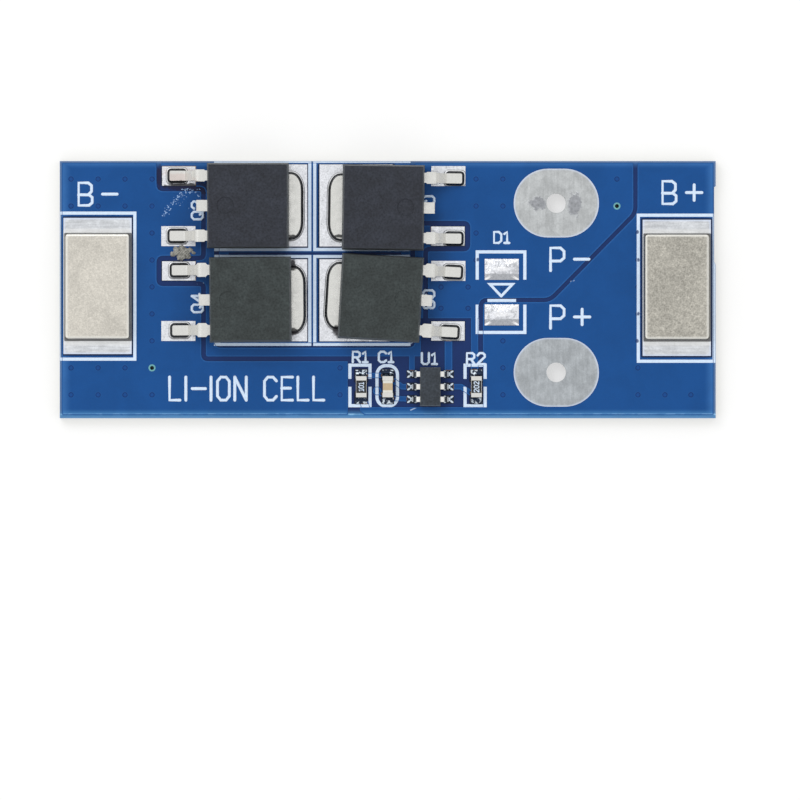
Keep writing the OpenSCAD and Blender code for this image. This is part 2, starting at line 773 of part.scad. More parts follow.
// Solder that climbs an edge in two steps, the lower one flatter
module climbing_solder(kind, low, high, spread) {
    middle = low + (high - low) * 0.35;
    for (step = [[low, spread, middle, spread * 0.4], [middle, spread * 0.4, high, 0.03]]) hull() {
        layer(step[0], 0.01) soldered_outline(kind, step[1]);
        layer(step[2] - 0.01, 0.01) soldered_outline(kind, step[3]);
    }
}

// The three soldered pads of a transistor
module transistor_solder(q) {
    climb = z_seat + frame_thickness * 0.62;
    edge = package_length / 2;
    color([0.74, 0.75, 0.76]) difference() {
        union() {
            for (side = [GATE, SOURCE]) {
                layer(z_copper_high, tin_thickness) lead_pad_shape(q, side);
                intersection() {
                    layer(z_copper_high, 1) lead_pad_shape(q, side);
                    at_transistor(q) translate([-edge - lead_reach, side * lead_pitch / 2, -z_seat])
                        climbing_solder("foot", z_tin_high - 0.01, climb, 0.3);
                }
            }
            layer(z_copper_high, tin_thickness) drain_pad_shape(q);
            layer(z_copper_high, z_seat - z_copper_high) projection_of_tab(q);
            intersection() {
                layer(z_copper_high, 1) drain_pad_shape(q);
                at_transistor(q) translate([0, 0, -z_seat]) intersection() {
                    climbing_solder("tab", z_tin_high - 0.01, climb, 0.3);
                    translate([edge - draft_low / 2, -far, 0]) cube([far, 2 * far, far]);
                }
            }
        }
        at_transistor(q) {
            moulding();
            drain_tab();
            for (side = [GATE, SOURCE]) lead(side, q[6]);
        }
    }
}

// The flat of the tab from above, inside its drain pad
module projection_of_tab(q) {
    intersection() {
        drain_pad_shape(q);
        translate([q[0] + q[3], q[1] + q[4]]) rotate(q[2] + q[5]) tab_outline();
    }
}

module q1_body() { transistor_body(Q1); }
module q1_drain_tab() { transistor_tab(Q1); }
module q1_gate_lead() { transistor_lead(Q1, GATE); }
module q1_source_lead() { transistor_lead(Q1, SOURCE); }
module q1_solder() { transistor_solder(Q1); }
module q2_body() { transistor_body(Q2); }
module q2_drain_tab() { transistor_tab(Q2); }
module q2_gate_lead() { transistor_lead(Q2, GATE); }
module q2_source_lead() { transistor_lead(Q2, SOURCE); }
module q2_solder() { transistor_solder(Q2); }
module q3_body() { transistor_body(Q3); }
module q3_drain_tab() { transistor_tab(Q3); }
module q3_gate_lead() { transistor_lead(Q3, GATE); }
module q3_source_lead() { transistor_lead(Q3, SOURCE); }
module q3_solder() { transistor_solder(Q3); }
module q4_body() { transistor_body(Q4); }
module q4_drain_tab() { transistor_tab(Q4); }
module q4_gate_lead() { transistor_lead(Q4, GATE); }
module q4_source_lead() { transistor_lead(Q4, SOURCE); }
module q4_solder() { transistor_solder(Q4); }

// ---- Protection chip ----

u1_body_low = 0.06;
u1_parting = 0.62;
u1_bend_at = u1_width / 2 + 0.14;
u1_draft = 0.08;

module u1_outline(width) {
    w = width / 2;
    polygon([[-w + u1_draft, u1_body_low], [w - u1_draft, u1_body_low], [w, u1_parting],
             [w - u1_draft, chip_body_top], [-w + u1_draft, chip_body_top], [-w, u1_parting]]);
}

module u1_moulding() {
    intersection() {
        rotate([90, 0, 0]) translate([0, 0, -u1_length]) linear_extrude(height = 2 * u1_length)
            u1_outline(u1_width);
        rotate([90, 0, 90]) translate([0, 0, -u1_width]) linear_extrude(height = 2 * u1_width)
            u1_outline(u1_length);
    }
}

module u1_lead_shapes() {
    for (side = [0, 1], k = [-1, 0, 1]) mirror([side, 0, 0])
        translate([0, k * u1_pitch + chip_lead_width / 2, u1_parting]) rotate([90, 0, 0])
            linear_extrude(height = chip_lead_width)
                gull_wing(u1_width / 2 - 0.3, u1_bend_at, u1_span / 2, u1_parting - u1_strip / 2,
                          u1_strip, 0.15, 70);
}

module at_u1() { translate([u1_x, part_y, z_tin_high]) children(); }

module u1_body() {
    color([0.24, 0.26, 0.3]) at_u1() difference() {
        u1_moulding();
        u1_lead_shapes();
    }
}

module u1_leads() { color([0.8, 0.8, 0.78]) at_u1() u1_lead_shapes(); }

module u1_solder() {
    color([0.74, 0.75, 0.76]) difference() {
        union() {
            layer(z_copper_high, tin_thickness) u1_pads();
            for (side = [-1, 1], k = [-1, 0, 1])
                translate([u1_x + side * (u1_span / 2 - 0.06), part_y + k * u1_pitch, z_tin_high])
                    cylinder(r1 = 0.26, r2 = 0.2, h = u1_strip * 0.7);
        }
        at_u1() u1_lead_shapes();
    }
}

// ---- Resistors and capacitor ----
// Each lies along Y with its middle over [x, part_y]

z_chip = z_tin_high + 0.02;

module chip_block(x, size, z) {
    translate([x - size[0] / 2, part_y - size[1] / 2, z]) cube(size);
}

// What the end caps cover: the two ends of a block of the given height
module cap_zone(x, height) {
    for (side = [-1, 1]) translate([x, part_y + side * (chip_length - cap_length) / 2, z_chip])
        translate([-chip_width, -cap_length / 2, 0]) cube([2 * chip_width, cap_length, height]);
}

module resistor_core(x) {
    chip_block(x, [chip_width, chip_length - 2 * cap_thickness, resistor_height - 2 * cap_thickness],
               z_chip + cap_thickness);
}

module resistor_ceramic(x) { color([0.92, 0.92, 0.88]) resistor_core(x); }

module resistor_caps(x) {
    color([0.8, 0.8, 0.78]) difference() {
        intersection() {
            chip_block(x, [chip_width, chip_length, resistor_height], z_chip);
            cap_zone(x, resistor_height);
        }
        resistor_core(x);
    }
}

glaze_thickness = 0.05;

module glaze_outline(width) {
    w = width / 2;
    top = w - glaze_thickness;
    polygon([[-w, 0], [w, 0], [top, glaze_thickness], [-top, glaze_thickness]]);
}

// The black glaze over the resistive track, with sloping sides
module resistor_overcoat(x) {
    length = chip_length - 2 * cap_length - 0.02;
    width = chip_width - 0.04;
    color([0.1, 0.1, 0.11]) translate([x, part_y, z_chip + resistor_height - cap_thickness]) intersection() {
        rotate([90, 0, 0]) translate([0, 0, -length / 2]) linear_extrude(height = length)
            glaze_outline(width);
        rotate([90, 0, 90]) translate([0, 0, -width]) linear_extrude(height = 2 * width)
            glaze_outline(length);
    }
}

module capacitor_core() {
    chip_block(c1_x, [chip_width - 2 * cap_thickness, chip_length - 2 * cap_thickness,
                      capacitor_height - 2 * cap_thickness], z_chip + cap_thickness);
}

// A solder fillet at each end of a chip part, hollow like the real ones
module chip_solder(x, height) {
    reach = 0.34;
    climb = height * 0.62;
    half = chip_length / 2;
    color([0.74, 0.75, 0.76]) difference() {
        union() {
            layer(z_copper_high, z_chip - z_copper_high) chip_pads(x);
            for (side = [-1, 1]) translate([x - chip_width / 2, part_y, z_chip]) scale([1, side, 1])
                difference() {
                    translate([0.02, half - 0.01, 0]) cube([chip_width - 0.04, reach, climb]);
                    translate([-cut, half + reach, climb]) rotate([0, 90, 0])
                        scale([climb / reach, 1, 1]) cylinder(r = reach, h = chip_width + 2 * cut);
                }
        }
        chip_block(x, [chip_width, chip_length, height], z_chip);
    }
}

module r1_ceramic() { resistor_ceramic(r1_x); }
module r1_overcoat() { resistor_overcoat(r1_x); }
module r1_end_caps() { resistor_caps(r1_x); }
module r1_solder() { chip_solder(r1_x, resistor_height); }
module r2_ceramic() { resistor_ceramic(r2_x); }
module r2_overcoat() { resistor_overcoat(r2_x); }
module r2_end_caps() { resistor_caps(r2_x); }
module r2_solder() { chip_solder(r2_x, resistor_height); }
module c1_ceramic() { color([0.72, 0.6, 0.45]) capacitor_core(); }

module c1_end_caps() {
    color([0.8, 0.8, 0.78]) difference() {
        intersection() {
            chip_block(c1_x, [chip_width, chip_length, capacitor_height], z_chip);
            cap_zone(c1_x, capacitor_height);
        }
        capacitor_core();
    }
}

module c1_solder() { chip_solder(c1_x, capacitor_height); }

// The diode isn't fitted: each of its pads carries a hipped cushion of solder
module d1_pad_solder() {
    rise = 0.16;
    color([0.78, 0.79, 0.8]) for (side = [-1, 1])
        translate([d1_at[0], d1_at[1] + side * d1_pad_offset, z_copper_high]) intersection() {
            translate([-d1_pad[0] / 2, -d1_pad[1] / 2, 0]) cube([d1_pad[0], d1_pad[1], 1]);
            arch(d1_pad[0], tin_thickness, rise);
            rotate([0, 0, 90]) arch(d1_pad[1], tin_thickness, rise);
        }
}

// A long solid whose top is an arc across X, edge high at its sides and rise higher in the middle
module arch(width, edge, rise) {
    r = (width * width / 4 + rise * rise) / (2 * rise);
    translate([0, far / 2, edge + rise - r]) rotate([90, 0, 0]) cylinder(r = r, h = far, $fn = 360);
}

laminate();
copper_top();
copper_bottom();
solder_mask_top();
solder_mask_bottom();
printed_outlines();
via_barrels();
cable_land_p_minus();
cable_land_p_plus();
cell_land_b_minus();
cell_land_b_plus();
b_minus_solder_film();
b_plus_solder_film();
b_minus_nickel_block();
b_plus_nickel_block();
q1_body();
q1_drain_tab();
q1_gate_lead();
q1_source_lead();
q1_solder();
q2_body();
q2_drain_tab();
q2_gate_lead();
q2_source_lead();
q2_solder();
q3_body();
q3_drain_tab();
q3_gate_lead();
q3_source_lead();
q3_solder();
q4_body();
q4_drain_tab();
q4_gate_lead();
q4_source_lead();
q4_solder();
u1_body();
u1_leads();
u1_solder();
r1_ceramic();
r1_overcoat();
r1_end_caps();
r1_solder();
r2_ceramic();
r2_overcoat();
r2_end_caps();
r2_solder();
c1_ceramic();
c1_end_caps();
c1_solder();
d1_pad_solder();
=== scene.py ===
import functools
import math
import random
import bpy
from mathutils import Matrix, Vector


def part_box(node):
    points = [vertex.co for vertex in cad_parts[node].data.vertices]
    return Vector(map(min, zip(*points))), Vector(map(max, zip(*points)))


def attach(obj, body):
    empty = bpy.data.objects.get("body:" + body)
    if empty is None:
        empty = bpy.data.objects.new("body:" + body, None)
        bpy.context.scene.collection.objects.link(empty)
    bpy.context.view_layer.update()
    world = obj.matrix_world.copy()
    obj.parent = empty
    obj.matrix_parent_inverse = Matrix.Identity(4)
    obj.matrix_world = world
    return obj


bl_info = {
    "name": "Cell protection board",
    "version": (1, 0, 0),
    "blender": (4, 5, 0),
    "location": "3D View > Sidebar > Board",
    "description": "Dresses a lithium cell's protection board: finishes, print, solder and flux, and its stage",
    "category": "Object",
}

import bpy
from mathutils import Vector

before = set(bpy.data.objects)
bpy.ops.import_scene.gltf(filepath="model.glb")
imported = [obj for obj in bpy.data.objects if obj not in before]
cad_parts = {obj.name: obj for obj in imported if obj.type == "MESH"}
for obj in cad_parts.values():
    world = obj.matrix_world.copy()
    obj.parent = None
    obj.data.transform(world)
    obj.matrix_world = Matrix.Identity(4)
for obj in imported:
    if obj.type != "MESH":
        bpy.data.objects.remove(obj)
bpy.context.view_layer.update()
MM = 0.001

# Heights of the board's surfaces and half its size in millimetres, read from the solids
LAND_TOP, MASK_TOP, COPPER_TOP, CORE_TOP, FOOT_TOP = (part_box(node)[1].z / MM for node in (
    "cable_land_p_minus", "solder_mask_top", "copper_top", "laminate", "q1_drain_tab"))
MASK_UNDER, CORE_UNDER = (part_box(node)[0].z / MM for node in ("solder_mask_bottom", "laminate"))
MASK_THICK = MASK_TOP - COPPER_TOP
HALF_X, HALF_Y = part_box("laminate")[1].x / MM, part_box("laminate")[1].y / MM
DEEP = 9.0  # a reach in Z that takes in the whole board, in millimetres


def centre(node):
    """The middle of a CAD node's box, in millimetres."""
    low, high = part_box(node)
    return (low + high) / 2 / MM


def rounded(mesh):
    """A mesh's corners as triples of millimetres that compare as equal where they meet."""
    return [tuple(round(c / MM, 3) for c in v.co) for v in mesh.vertices]


def loose_boxes(*nodes):
    """The lowest and highest corners of each separate solid of each CAD node, in millimetres."""
    found = []
    for node in nodes:
        keys = rounded(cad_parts[node].data)
        solids = []
        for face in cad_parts[node].data.polygons:
            corners = {keys[v] for v in face.vertices}
            touching = [solid for solid in solids if solid & corners]
            solids = [solid for solid in solids if not solid & corners] + [corners.union(*touching)]
        boxes = [(Vector(map(min, zip(*solid))), Vector(map(max, zip(*solid)))) for solid in solids]
        found += sorted(boxes, key=lambda box: tuple(box[0]))
    return found


# ---- settings

def colour_prop(name, text, *shown):
    """A colour whose default is given as three display values from 0 to 255."""
    return bpy.props.FloatVectorProperty(
        name=name, description=text, subtype="COLOR", size=3, min=0, max=1, default=srgb(*shown))


def length_prop(name, text, value):
    return bpy.props.FloatProperty(
        name=name, description=text, subtype="DISTANCE", unit="LENGTH", min=0, default=value)


def plain_prop(name, text, value, low=0.0, high=10.0):
    return bpy.props.FloatProperty(name=name, description=text, min=low, max=high, default=value)


def srgb(*shown):
    """A colour given as display values from 0 to 255, as linear light."""
    return tuple(v / 255 / 12.92 if v / 255 <= 0.04045 else ((v / 255 + 0.055) / 1.055) ** 2.4 for v in shown)


class BoardFinishes(bpy.types.PropertyGroup):
    mask_high: colour_prop("Mask over copper", "Blue of the mask where copper lies under it", 15, 73, 136)
    mask_low: colour_prop("Mask in the gaps", "Blue of the mask over bare laminate", 20, 46, 98)
    mask_edge: colour_prop("Mask at the edge", "Blue of the mask along the cut edge", 56, 110, 172)
    ink: colour_prop("Printed ink", "Colour of the white print", 208, 225, 245)
    tin: colour_prop("Weld land", "Colour of the levelled tin on the B lands", 206, 209, 213)
    tin_minus: colour_prop("P- land", "Colour of the levelled tin on the P- land", 184, 187, 188)
    tin_plus: colour_prop("P+ land", "Colour of the levelled tin on the P+ land", 170, 175, 179)
    tin_under: colour_prop("Lands underneath", "Colour of the levelled tin on the underside", 220, 221, 220)
    tin_rough: colour_prop("Tarnished tin", "Colour of the rough patches on the lands", 150, 152, 157)
    nickel: colour_prop("Nickel", "Colour of the B- weld block", 198, 194, 185)
    nickel_dull: colour_prop("Dull nickel", "Colour of the B+ weld block", 173, 170, 161)
    lead: colour_prop("Lead tin", "Colour of the transistors' leads and tabs", 232, 232, 228)
    solder: colour_prop("Solder", "Colour of the soldered pads", 224, 226, 231)
    mould_cool: colour_prop("Upper mouldings", "Colour of the two transistors in the upper row", 44, 47, 55)
    mould_warm: colour_prop("Lower mouldings", "Colour of the two transistors in the lower row", 52, 58, 58)
    mould_chip: colour_prop("Chip moulding", "Colour of the six-pin chip", 53, 59, 66)


class BoardPrint(bpy.types.PropertyGroup):
    stroke: length_prop("Stroke", "Width of the lines of the large letters", 0.24 * MM)
    fine_stroke: length_prop("Fine stroke", "Width of the lines of the small letters", 0.2 * MM)
    ink_rise: length_prop("Ink height", "How far the ink stands above the mask", 0.02 * MM)
    letter_height: length_prop("Letter height", "Height of the large letters between the middles of their lines",
                               1.72 * MM)
    label_height: length_prop("Label height", "Height of the small letters between the middles of their lines",
                              0.84 * MM)


class BoardStage(bpy.types.PropertyGroup):
    field: length_prop("Field", "Width of the view at the board", 60.98 * MM)
    lens: plain_prop("Lens", "Focal length in millimetres", 400.0, 10, 1000)
    key: plain_prop("Key light", "Power of the large soft light", 0.46, 0, 100)
    fill: plain_prop("Sky", "Strength of the even light from all round", 0.95, 0, 10)


def activate(*made):
    """Selects these objects alone, the first as the active one; without any, nothing stays selected."""
    if bpy.context.mode != "OBJECT":
        bpy.ops.object.mode_set(mode="OBJECT")
    bpy.ops.object.select_all(action="DESELECT")
    for obj in made:
        obj.select_set(True)
    if made:
        bpy.context.view_layer.objects.active = made[0]


def active():
    return bpy.context.view_layer.objects.active


def added(name, operator, **settings):
    """The object that an operator adds, at the origin unless the settings say where."""
    activate()
    operator(**{"location": (0.0, 0.0, 0.0), **settings})
    active().name = name
    return active()


# ---- node tools

class Graph:
    """Adds and joins shader nodes, one call for each."""

    def __init__(self, tree):
        self.tree = tree

    def node(self, kind, inputs=None, **settings):
        made = self.tree.nodes.new("ShaderNode" + kind)
        made.location = (len(self.tree.nodes) * 40, len(self.tree.nodes) * -15)
        for name, value in settings.items():
            setattr(made, name, value)
        for name, value in (inputs or {}).items():
            self.feed(made.inputs[name], value)
        return made

    def feed(self, socket, value):
        if isinstance(value, bpy.types.NodeSocket):
            self.tree.links.new(value, socket)
        elif value is not None:
            if socket.type == "RGBA":
                value = (*tuple(value)[:3], 1.0)
            socket.default_value = value

    def math(self, operation, *values, clamp=False):
        return self.node("Math", dict(enumerate(values)), operation=operation, use_clamp=clamp).outputs[0]

    times = functools.partialmethod(math, "MULTIPLY")
    plus = functools.partialmethod(math, "ADD")
    minus = functools.partialmethod(math, "SUBTRACT")
    times_plus = functools.partialmethod(math, "MULTIPLY_ADD")
    size = functools.partialmethod(math, "ABSOLUTE")

    def largest(self, masks):
        return functools.reduce(lambda a, b: self.math("MAXIMUM", a, b), masks)

    def vector(self, operation, *values):
        made = self.node("VectorMath", dict(enumerate(values)), operation=operation)
        return made.outputs["Value" if operation in ("LENGTH", "DOT_PRODUCT") else "Vector"]

    def scaled(self, vector, scale):
        return self.node("VectorMath", {0: vector, "Scale": scale}, operation="SCALE").outputs[0]

    def joined(self, x, y, z=0.0):
        return self.node("CombineXYZ", {"X": x, "Y": y, "Z": z}).outputs[0]

    def split(self, vector):
        return tuple(self.node("SeparateXYZ", {"Vector": vector}).outputs)

    def away(self, place, middle):
        return self.vector("ABSOLUTE", self.vector("SUBTRACT", place, middle))

    def past(self, away, half):
        """How far a place lies outside an oblong, seen from above."""
        x, y, _ = self.split(self.vector("MAXIMUM", self.vector("SUBTRACT", away, half), (0.0, 0.0, 0.0)))
        return self.vector("LENGTH", self.joined(x, y))

    def ramp(self, value, low, high, to_low=0.0, to_high=1.0):
        made = self.node("MapRange", {"Value": value, "From Min": low, "From Max": high, "To Min": to_low,
                                      "To Max": to_high}, interpolation_type="SMOOTHSTEP")
        return made.outputs["Result"]

    def fall(self, value, low, high):
        """1 up to one limit, 0 from the other on."""
        return self.ramp(value, low, high, 1.0, 0.0)

    def band(self, value, low, high, soft):
        """1 where a value lies between two limits."""
        return self.times(self.ramp(value, low - soft, low), self.fall(value, high, high + soft))

    def mix(self, factor, a, b, blend="MIX"):
        return self.node("Mix", {"Factor": factor, 6: a, 7: b}, data_type="RGBA", blend_type=blend).outputs[2]

    def toned(self, colour, *tones):
        """A colour multiplied by tones that are near 1."""
        tone = functools.reduce(self.times, tones)
        return self.mix(1.0, colour, self.joined(tone, tone, tone), "MULTIPLY")

    def noise_at(self, place, scale, detail=2.0, rough=0.5, distort=0.0):
        return self.node("TexNoise", {"Vector": place, "Scale": scale, "Detail": detail, "Roughness": rough,
                                      "Distortion": distort}).outputs["Fac"]


GROUPS = {}


def new_group(name, given, *outputs):
    """A node group that takes the place and the given inputs: a number, or None for a vector. Returns its
    graph, its outputs' sockets, the place and the given inputs."""
    tree = GROUPS[name] = bpy.data.node_groups.new(name, "ShaderNodeTree")
    for label, value in {"Place": None, **given}.items():
        kind = "NodeSocketVector" if value is None else "NodeSocketFloat"
        socket = tree.interface.new_socket(name=label, in_out="INPUT", socket_type=kind)
        if value is not None:
            socket.default_value = value
    for label in outputs:
        tree.interface.new_socket(name=label, in_out="OUTPUT", socket_type="NodeSocketFloat")
    entry = tree.nodes.new("NodeGroupInput").outputs
    return Graph(tree), tree.nodes.new("NodeGroupOutput").inputs, *(entry[label] for label in ("Place", *given))


def grain_group():
    """Fine sandy grain: a height for bumps and a tone of lighter and darker grains."""
    g, out, place, grain, contrast = new_group("Fine grain", {"Grain": 12.0, "Contrast": 0.2}, "Height", "Tone")
    cells = g.node("TexVoronoi", {"Vector": place, "Scale": grain}, feature="F1").outputs["Distance"]
    height = g.plus(g.times(cells, 0.5), g.noise_at(place, grain, 3.0, 0.65))
    g.feed(out["Height"], height)
    g.feed(out["Tone"], g.times_plus(g.minus(height, 0.75), contrast, 1.0))


def mottle_group():
    """Slow cloudy change between two tones."""
    g, out, place, size, low, high = new_group("Mottle", {"Size": 1.0, "Low": 0.9, "High": 1.1}, "Tone")
    g.feed(out["Tone"], g.ramp(g.noise_at(place, size, 4.0, 0.6, 0.4), 0.3, 0.7, low, high))


def patch_group():
    """A patch with a ragged border: an oval round a point, broken up by noise."""
    g, out, place, middle, reach, ragged, grain, soft = new_group("Ragged patch", {
        "Centre": None, "Reach": None, "Ragged": 0.5, "Grain": 2.0, "Softness": 0.1}, "Mask")
    away = g.vector("LENGTH", g.vector("DIVIDE", g.vector("SUBTRACT", place, middle), reach))
    rough = g.times(g.minus(g.noise_at(place, grain, 5.0, 0.7), 0.5), ragged)
    edge = g.plus(away, g.times(rough, 2.0))
    g.feed(out["Mask"], g.fall(edge, g.minus(1.0, soft), g.plus(1.0, soft)))


def streak_group():
    """Long faint streaks across X, as a levelling knife leaves them."""
    g, out, place, across, along, depth = new_group("Streaks", {"Across": 6.0, "Along": 0.6, "Depth": 0.1}, "Tone")
    x, y, _ = g.split(place)
    lines = g.noise_at(g.joined(g.times(x, across), g.times(y, along)), 1.0, 3.0, 0.6)
    g.feed(out["Tone"], g.times_plus(g.minus(lines, 0.5), depth, 1.0))


def border_group():
    """The strip inside the border of an oblong that is rounded by Radius."""
    g, out, place, middle, core, radius, width = new_group("Border", {
        "Centre": None, "Core": None, "Radius": 1.0, "Width": 0.1}, "Mask")
    g.feed(out["Mask"], g.fall(g.minus(radius, g.past(g.away(place, middle), core)), 0.0, width))


def keyline_group():
    """The strip within a given width of a rectangle's outside: painted shade beside a pad where the mask steps down
    to it, and the painted shadow and pale band round a weld block.
    """
    g, out, place, middle, half, width = new_group("Keyline", {"Centre": None, "Half": None, "Width": 0.1}, "Mask")
    g.feed(out["Mask"], g.fall(g.past(g.away(place, middle), half), g.times(width, 0.55), width))


def hip_group():
    """The two diagonals of a rectangle, where solder that was drawn to its corners shines."""
    g, out, place, middle, half, width, begin = new_group("Hip lines", {
        "Centre": None, "Half": None, "Width": 0.2, "From": 0.0}, "Mask")
    x, y, _ = g.split(g.vector("DIVIDE", g.away(place, middle), half))
    near = g.fall(g.size(g.minus(x, y)), g.times(width, 0.4), width)
    far = g.largest((x, y))
    near = g.times(near, g.ramp(far, begin, g.plus(begin, 0.25)))
    g.feed(out["Mask"], g.times(near, g.math("LESS_THAN", far, 1.02)))


def scratch_group():
    """A faint broken line from Start along Run."""
    g, out, place, start, run, width, gap = new_group("Scratch", {
        "Start": None, "Run": None, "Width": 0.05, "Gaps": 0.45}, "Mask")
    from_start = g.vector("MULTIPLY", g.vector("SUBTRACT", place, start), (1.0, 1.0, 0.0))
    along = g.math("DIVIDE", g.vector("DOT_PRODUCT", from_start, run), g.vector("DOT_PRODUCT", run, run), clamp=True)
    away = g.vector("LENGTH", g.vector("SUBTRACT", from_start, g.scaled(run, along)))
    gaps = g.ramp(g.noise_at(place, 1.6, 3.0, 0.7), gap, g.plus(gap, 0.15))
    g.feed(out["Mask"], g.times(g.fall(away, 0.0, width), gaps))


class Finish(Graph):
    """A material on its way: its shader's inputs, the place in millimetres and the colour so far."""

    def __init__(self, name, colour=None, metallic=0.0, roughness=0.5, specular=0.5):
        self.material = bpy.data.materials.new(name)
        self.material.use_nodes = True
        super().__init__(self.material.node_tree)
        self.inputs = self.tree.nodes["Principled BSDF"].inputs
        for label, value in (("Metallic", metallic), ("Roughness", roughness), ("Specular IOR Level", specular)):
            self.inputs[label].default_value = value
        self.colour = colour

    @functools.cached_property
    def place(self):
        """Object coordinates in millimetres."""
        return self.scaled(self.node("TexCoord").outputs["Object"], 1 / MM)

    def noise(self, *values):
        return self.noise_at(self.place, *values)

    def use(self, name, **inputs):
        """The outputs of a shared group at this place."""
        return self.node("Group", {"Place": self.place, **inputs}, node_tree=GROUPS[name]).outputs

    def grain(self, size, contrast):
        """The height and the tone of a sandy grain."""
        return tuple(self.use("Fine grain", Grain=size, Contrast=contrast))

    def clouds(self, size, low, high):
        return self.use("Mottle", Size=size, Low=low, High=high)["Tone"]

    def patch(self, middle, reach, ragged, grain, softness):
        return self.use("Ragged patch", Centre=middle, Reach=reach, Ragged=ragged, Grain=grain,
                        Softness=softness)["Mask"]

    def border(self, middle, half, radius, width):
        return self.use("Border", Centre=middle, Core=(half[0] - radius, half[1] - radius, DEEP), Radius=radius,
                        Width=width)["Mask"]

    def round_boxes(self, name, boxes, **values):
        """A group's mask round each of some boxes in millimetres, joined."""
        return self.largest([self.use(name, Centre=(low + high) / 2, Half=(high - low) / 2, **values)["Mask"]
                             for low, high in boxes])

    def facing(self, axis):
        """How far the surface's normal points along an axis."""
        return self.split(self.node("NewGeometry").outputs["Normal"])[axis]

    def steepness(self, low, high):
        """1 where a surface stands steeper than its normal's height says, 0 where it lies flat."""
        return self.fall(self.size(self.facing(2)), low, high)

    def lay(self, mask, colour, strength=1.0):
        """Lays a colour over the one so far."""
        self.colour = self.mix(mask if strength == 1.0 else self.times(mask, strength), self.colour, colour)

    def tone(self, *tones):
        self.colour = self.toned(self.colour, *tones)

    def stain_and_shade(self, stains, colour, strength=0.9):
        """Lays ragged marks, each x, y, reach x and reach y in millimetres: stains, and at the tabs' ends also
        painted shade.
        """
        self.lay(self.largest([self.patch((x, y, LAND_TOP), (reach_x, reach_y, DEEP), 0.9, 3.5, 0.25)
                               for x, y, reach_x, reach_y in stains]), colour, strength)

    def scratch(self, lines, colour, strength, width=0.06, gaps=0.42):
        """Lays fine scratches, each from x, y to x, y in millimetres."""
        self.lay(self.largest([self.use("Scratch", Start=(x0, y0, 0.0), Run=(x1 - x0, y1 - y0, 0.0), Width=width,
                                        Gaps=gaps)["Mask"] for x0, y0, x1, y1 in lines]), colour, strength)

    def sanded(self, size, contrast, deep, strength):
        """Finishes with a grain that tones the colour and raises the bumps."""
        height, grain = self.grain(size, contrast)
        self.tone(grain)
        return self.done(height, deep, strength)

    def done(self, height, deep, strength, roughness=None):
        """Feeds the colour, the bumps (deep in millimetres) and the roughness, and gives the material."""
        bump = self.node("Bump", {"Strength": strength, "Distance": deep * MM, "Height": height}).outputs["Normal"]
        for label, value in (("Base Color", self.colour), ("Normal", bump), ("Roughness", roughness)):
            self.feed(self.inputs[label], value)
        return self.material


def dress(material, *nodes):
    """Gives CAD nodes this material."""
    for name in nodes:
        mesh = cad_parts[name].data
        mesh.materials.clear()
        mesh.materials.append(material)


# ---- materials

MIDDLE_Z = (CORE_TOP + CORE_UNDER) / 2  # half way between the two sides of the board, in millimetres

# How far in the mask is light along the ends and the sides and grey along the cut, and how wide the painted
# shade beside a pad is; in millimetres
END_GLOW, SIDE_GLOW, CUT_LINE, PAD_SHADE_WIDTH = 0.95, 0.6, 0.18, 0.17

# Where the solder beside a clipped foot starts, shines and climbs, in millimetres above the lands: the bands of
# painted shade, painted highlight and painted shade
SOLDER_START, SOLDER_LIP, SOLDER_CLIMB = ((LAND_TOP + low, LAND_TOP + high) for low, high in (
    (0.005, 0.028), (0.038, 0.06), (0.064, 0.086)))

# Fine scratches in the mask, in millimetres: x, y to x, y
SCRATCHES_TOP = ((1.75, -9.18, 2.15, -9.0), (13.95, 0.62, 14.2, 0.7), (1.75, -4.12, 1.95, -3.95))
SCRATCHES_UNDER = ((-17.07, 0.11, -12.98, 0.63), (-12.98, 0.63, -12.2, 1.61), (-19.53, 1.87, -14.47, 2.84),
                   (-9.93, 2.32, -8.76, 1.93), (-20.2, 2.9, -15.6, 3.9))

# Dark marks, in millimetres: x, y, reach x, reach y. Five places at the tabs' ends, burnt flux together with
# painted shade under the mouldings' corners; two of burnt flux beside the upper left foot
TAB_FLUX_AND_SHADE = ((-3.75, -3.15, 0.45, 0.5), (-7.25, 1.85, 0.32, 0.42), (-7.25, -3.2, 0.4, 0.3),
              (-3.7, 4.08, 0.5, 0.12), (-7.3, 4.05, 0.35, 0.14))
FOOT_STAINS = ((-17.42, 8.62, 0.22, 0.85), (-15.6, 7.86, 1.4, 0.26))

# Places where the white print has flaked, in millimetres
INK_NICKS = ((19.03, 4.39), (19.1, 2.26), (19.1, -1.84), (19.03, -3.9), (6.86, 2.29), (-9.3, -6.4), (-8.8, -7.6))


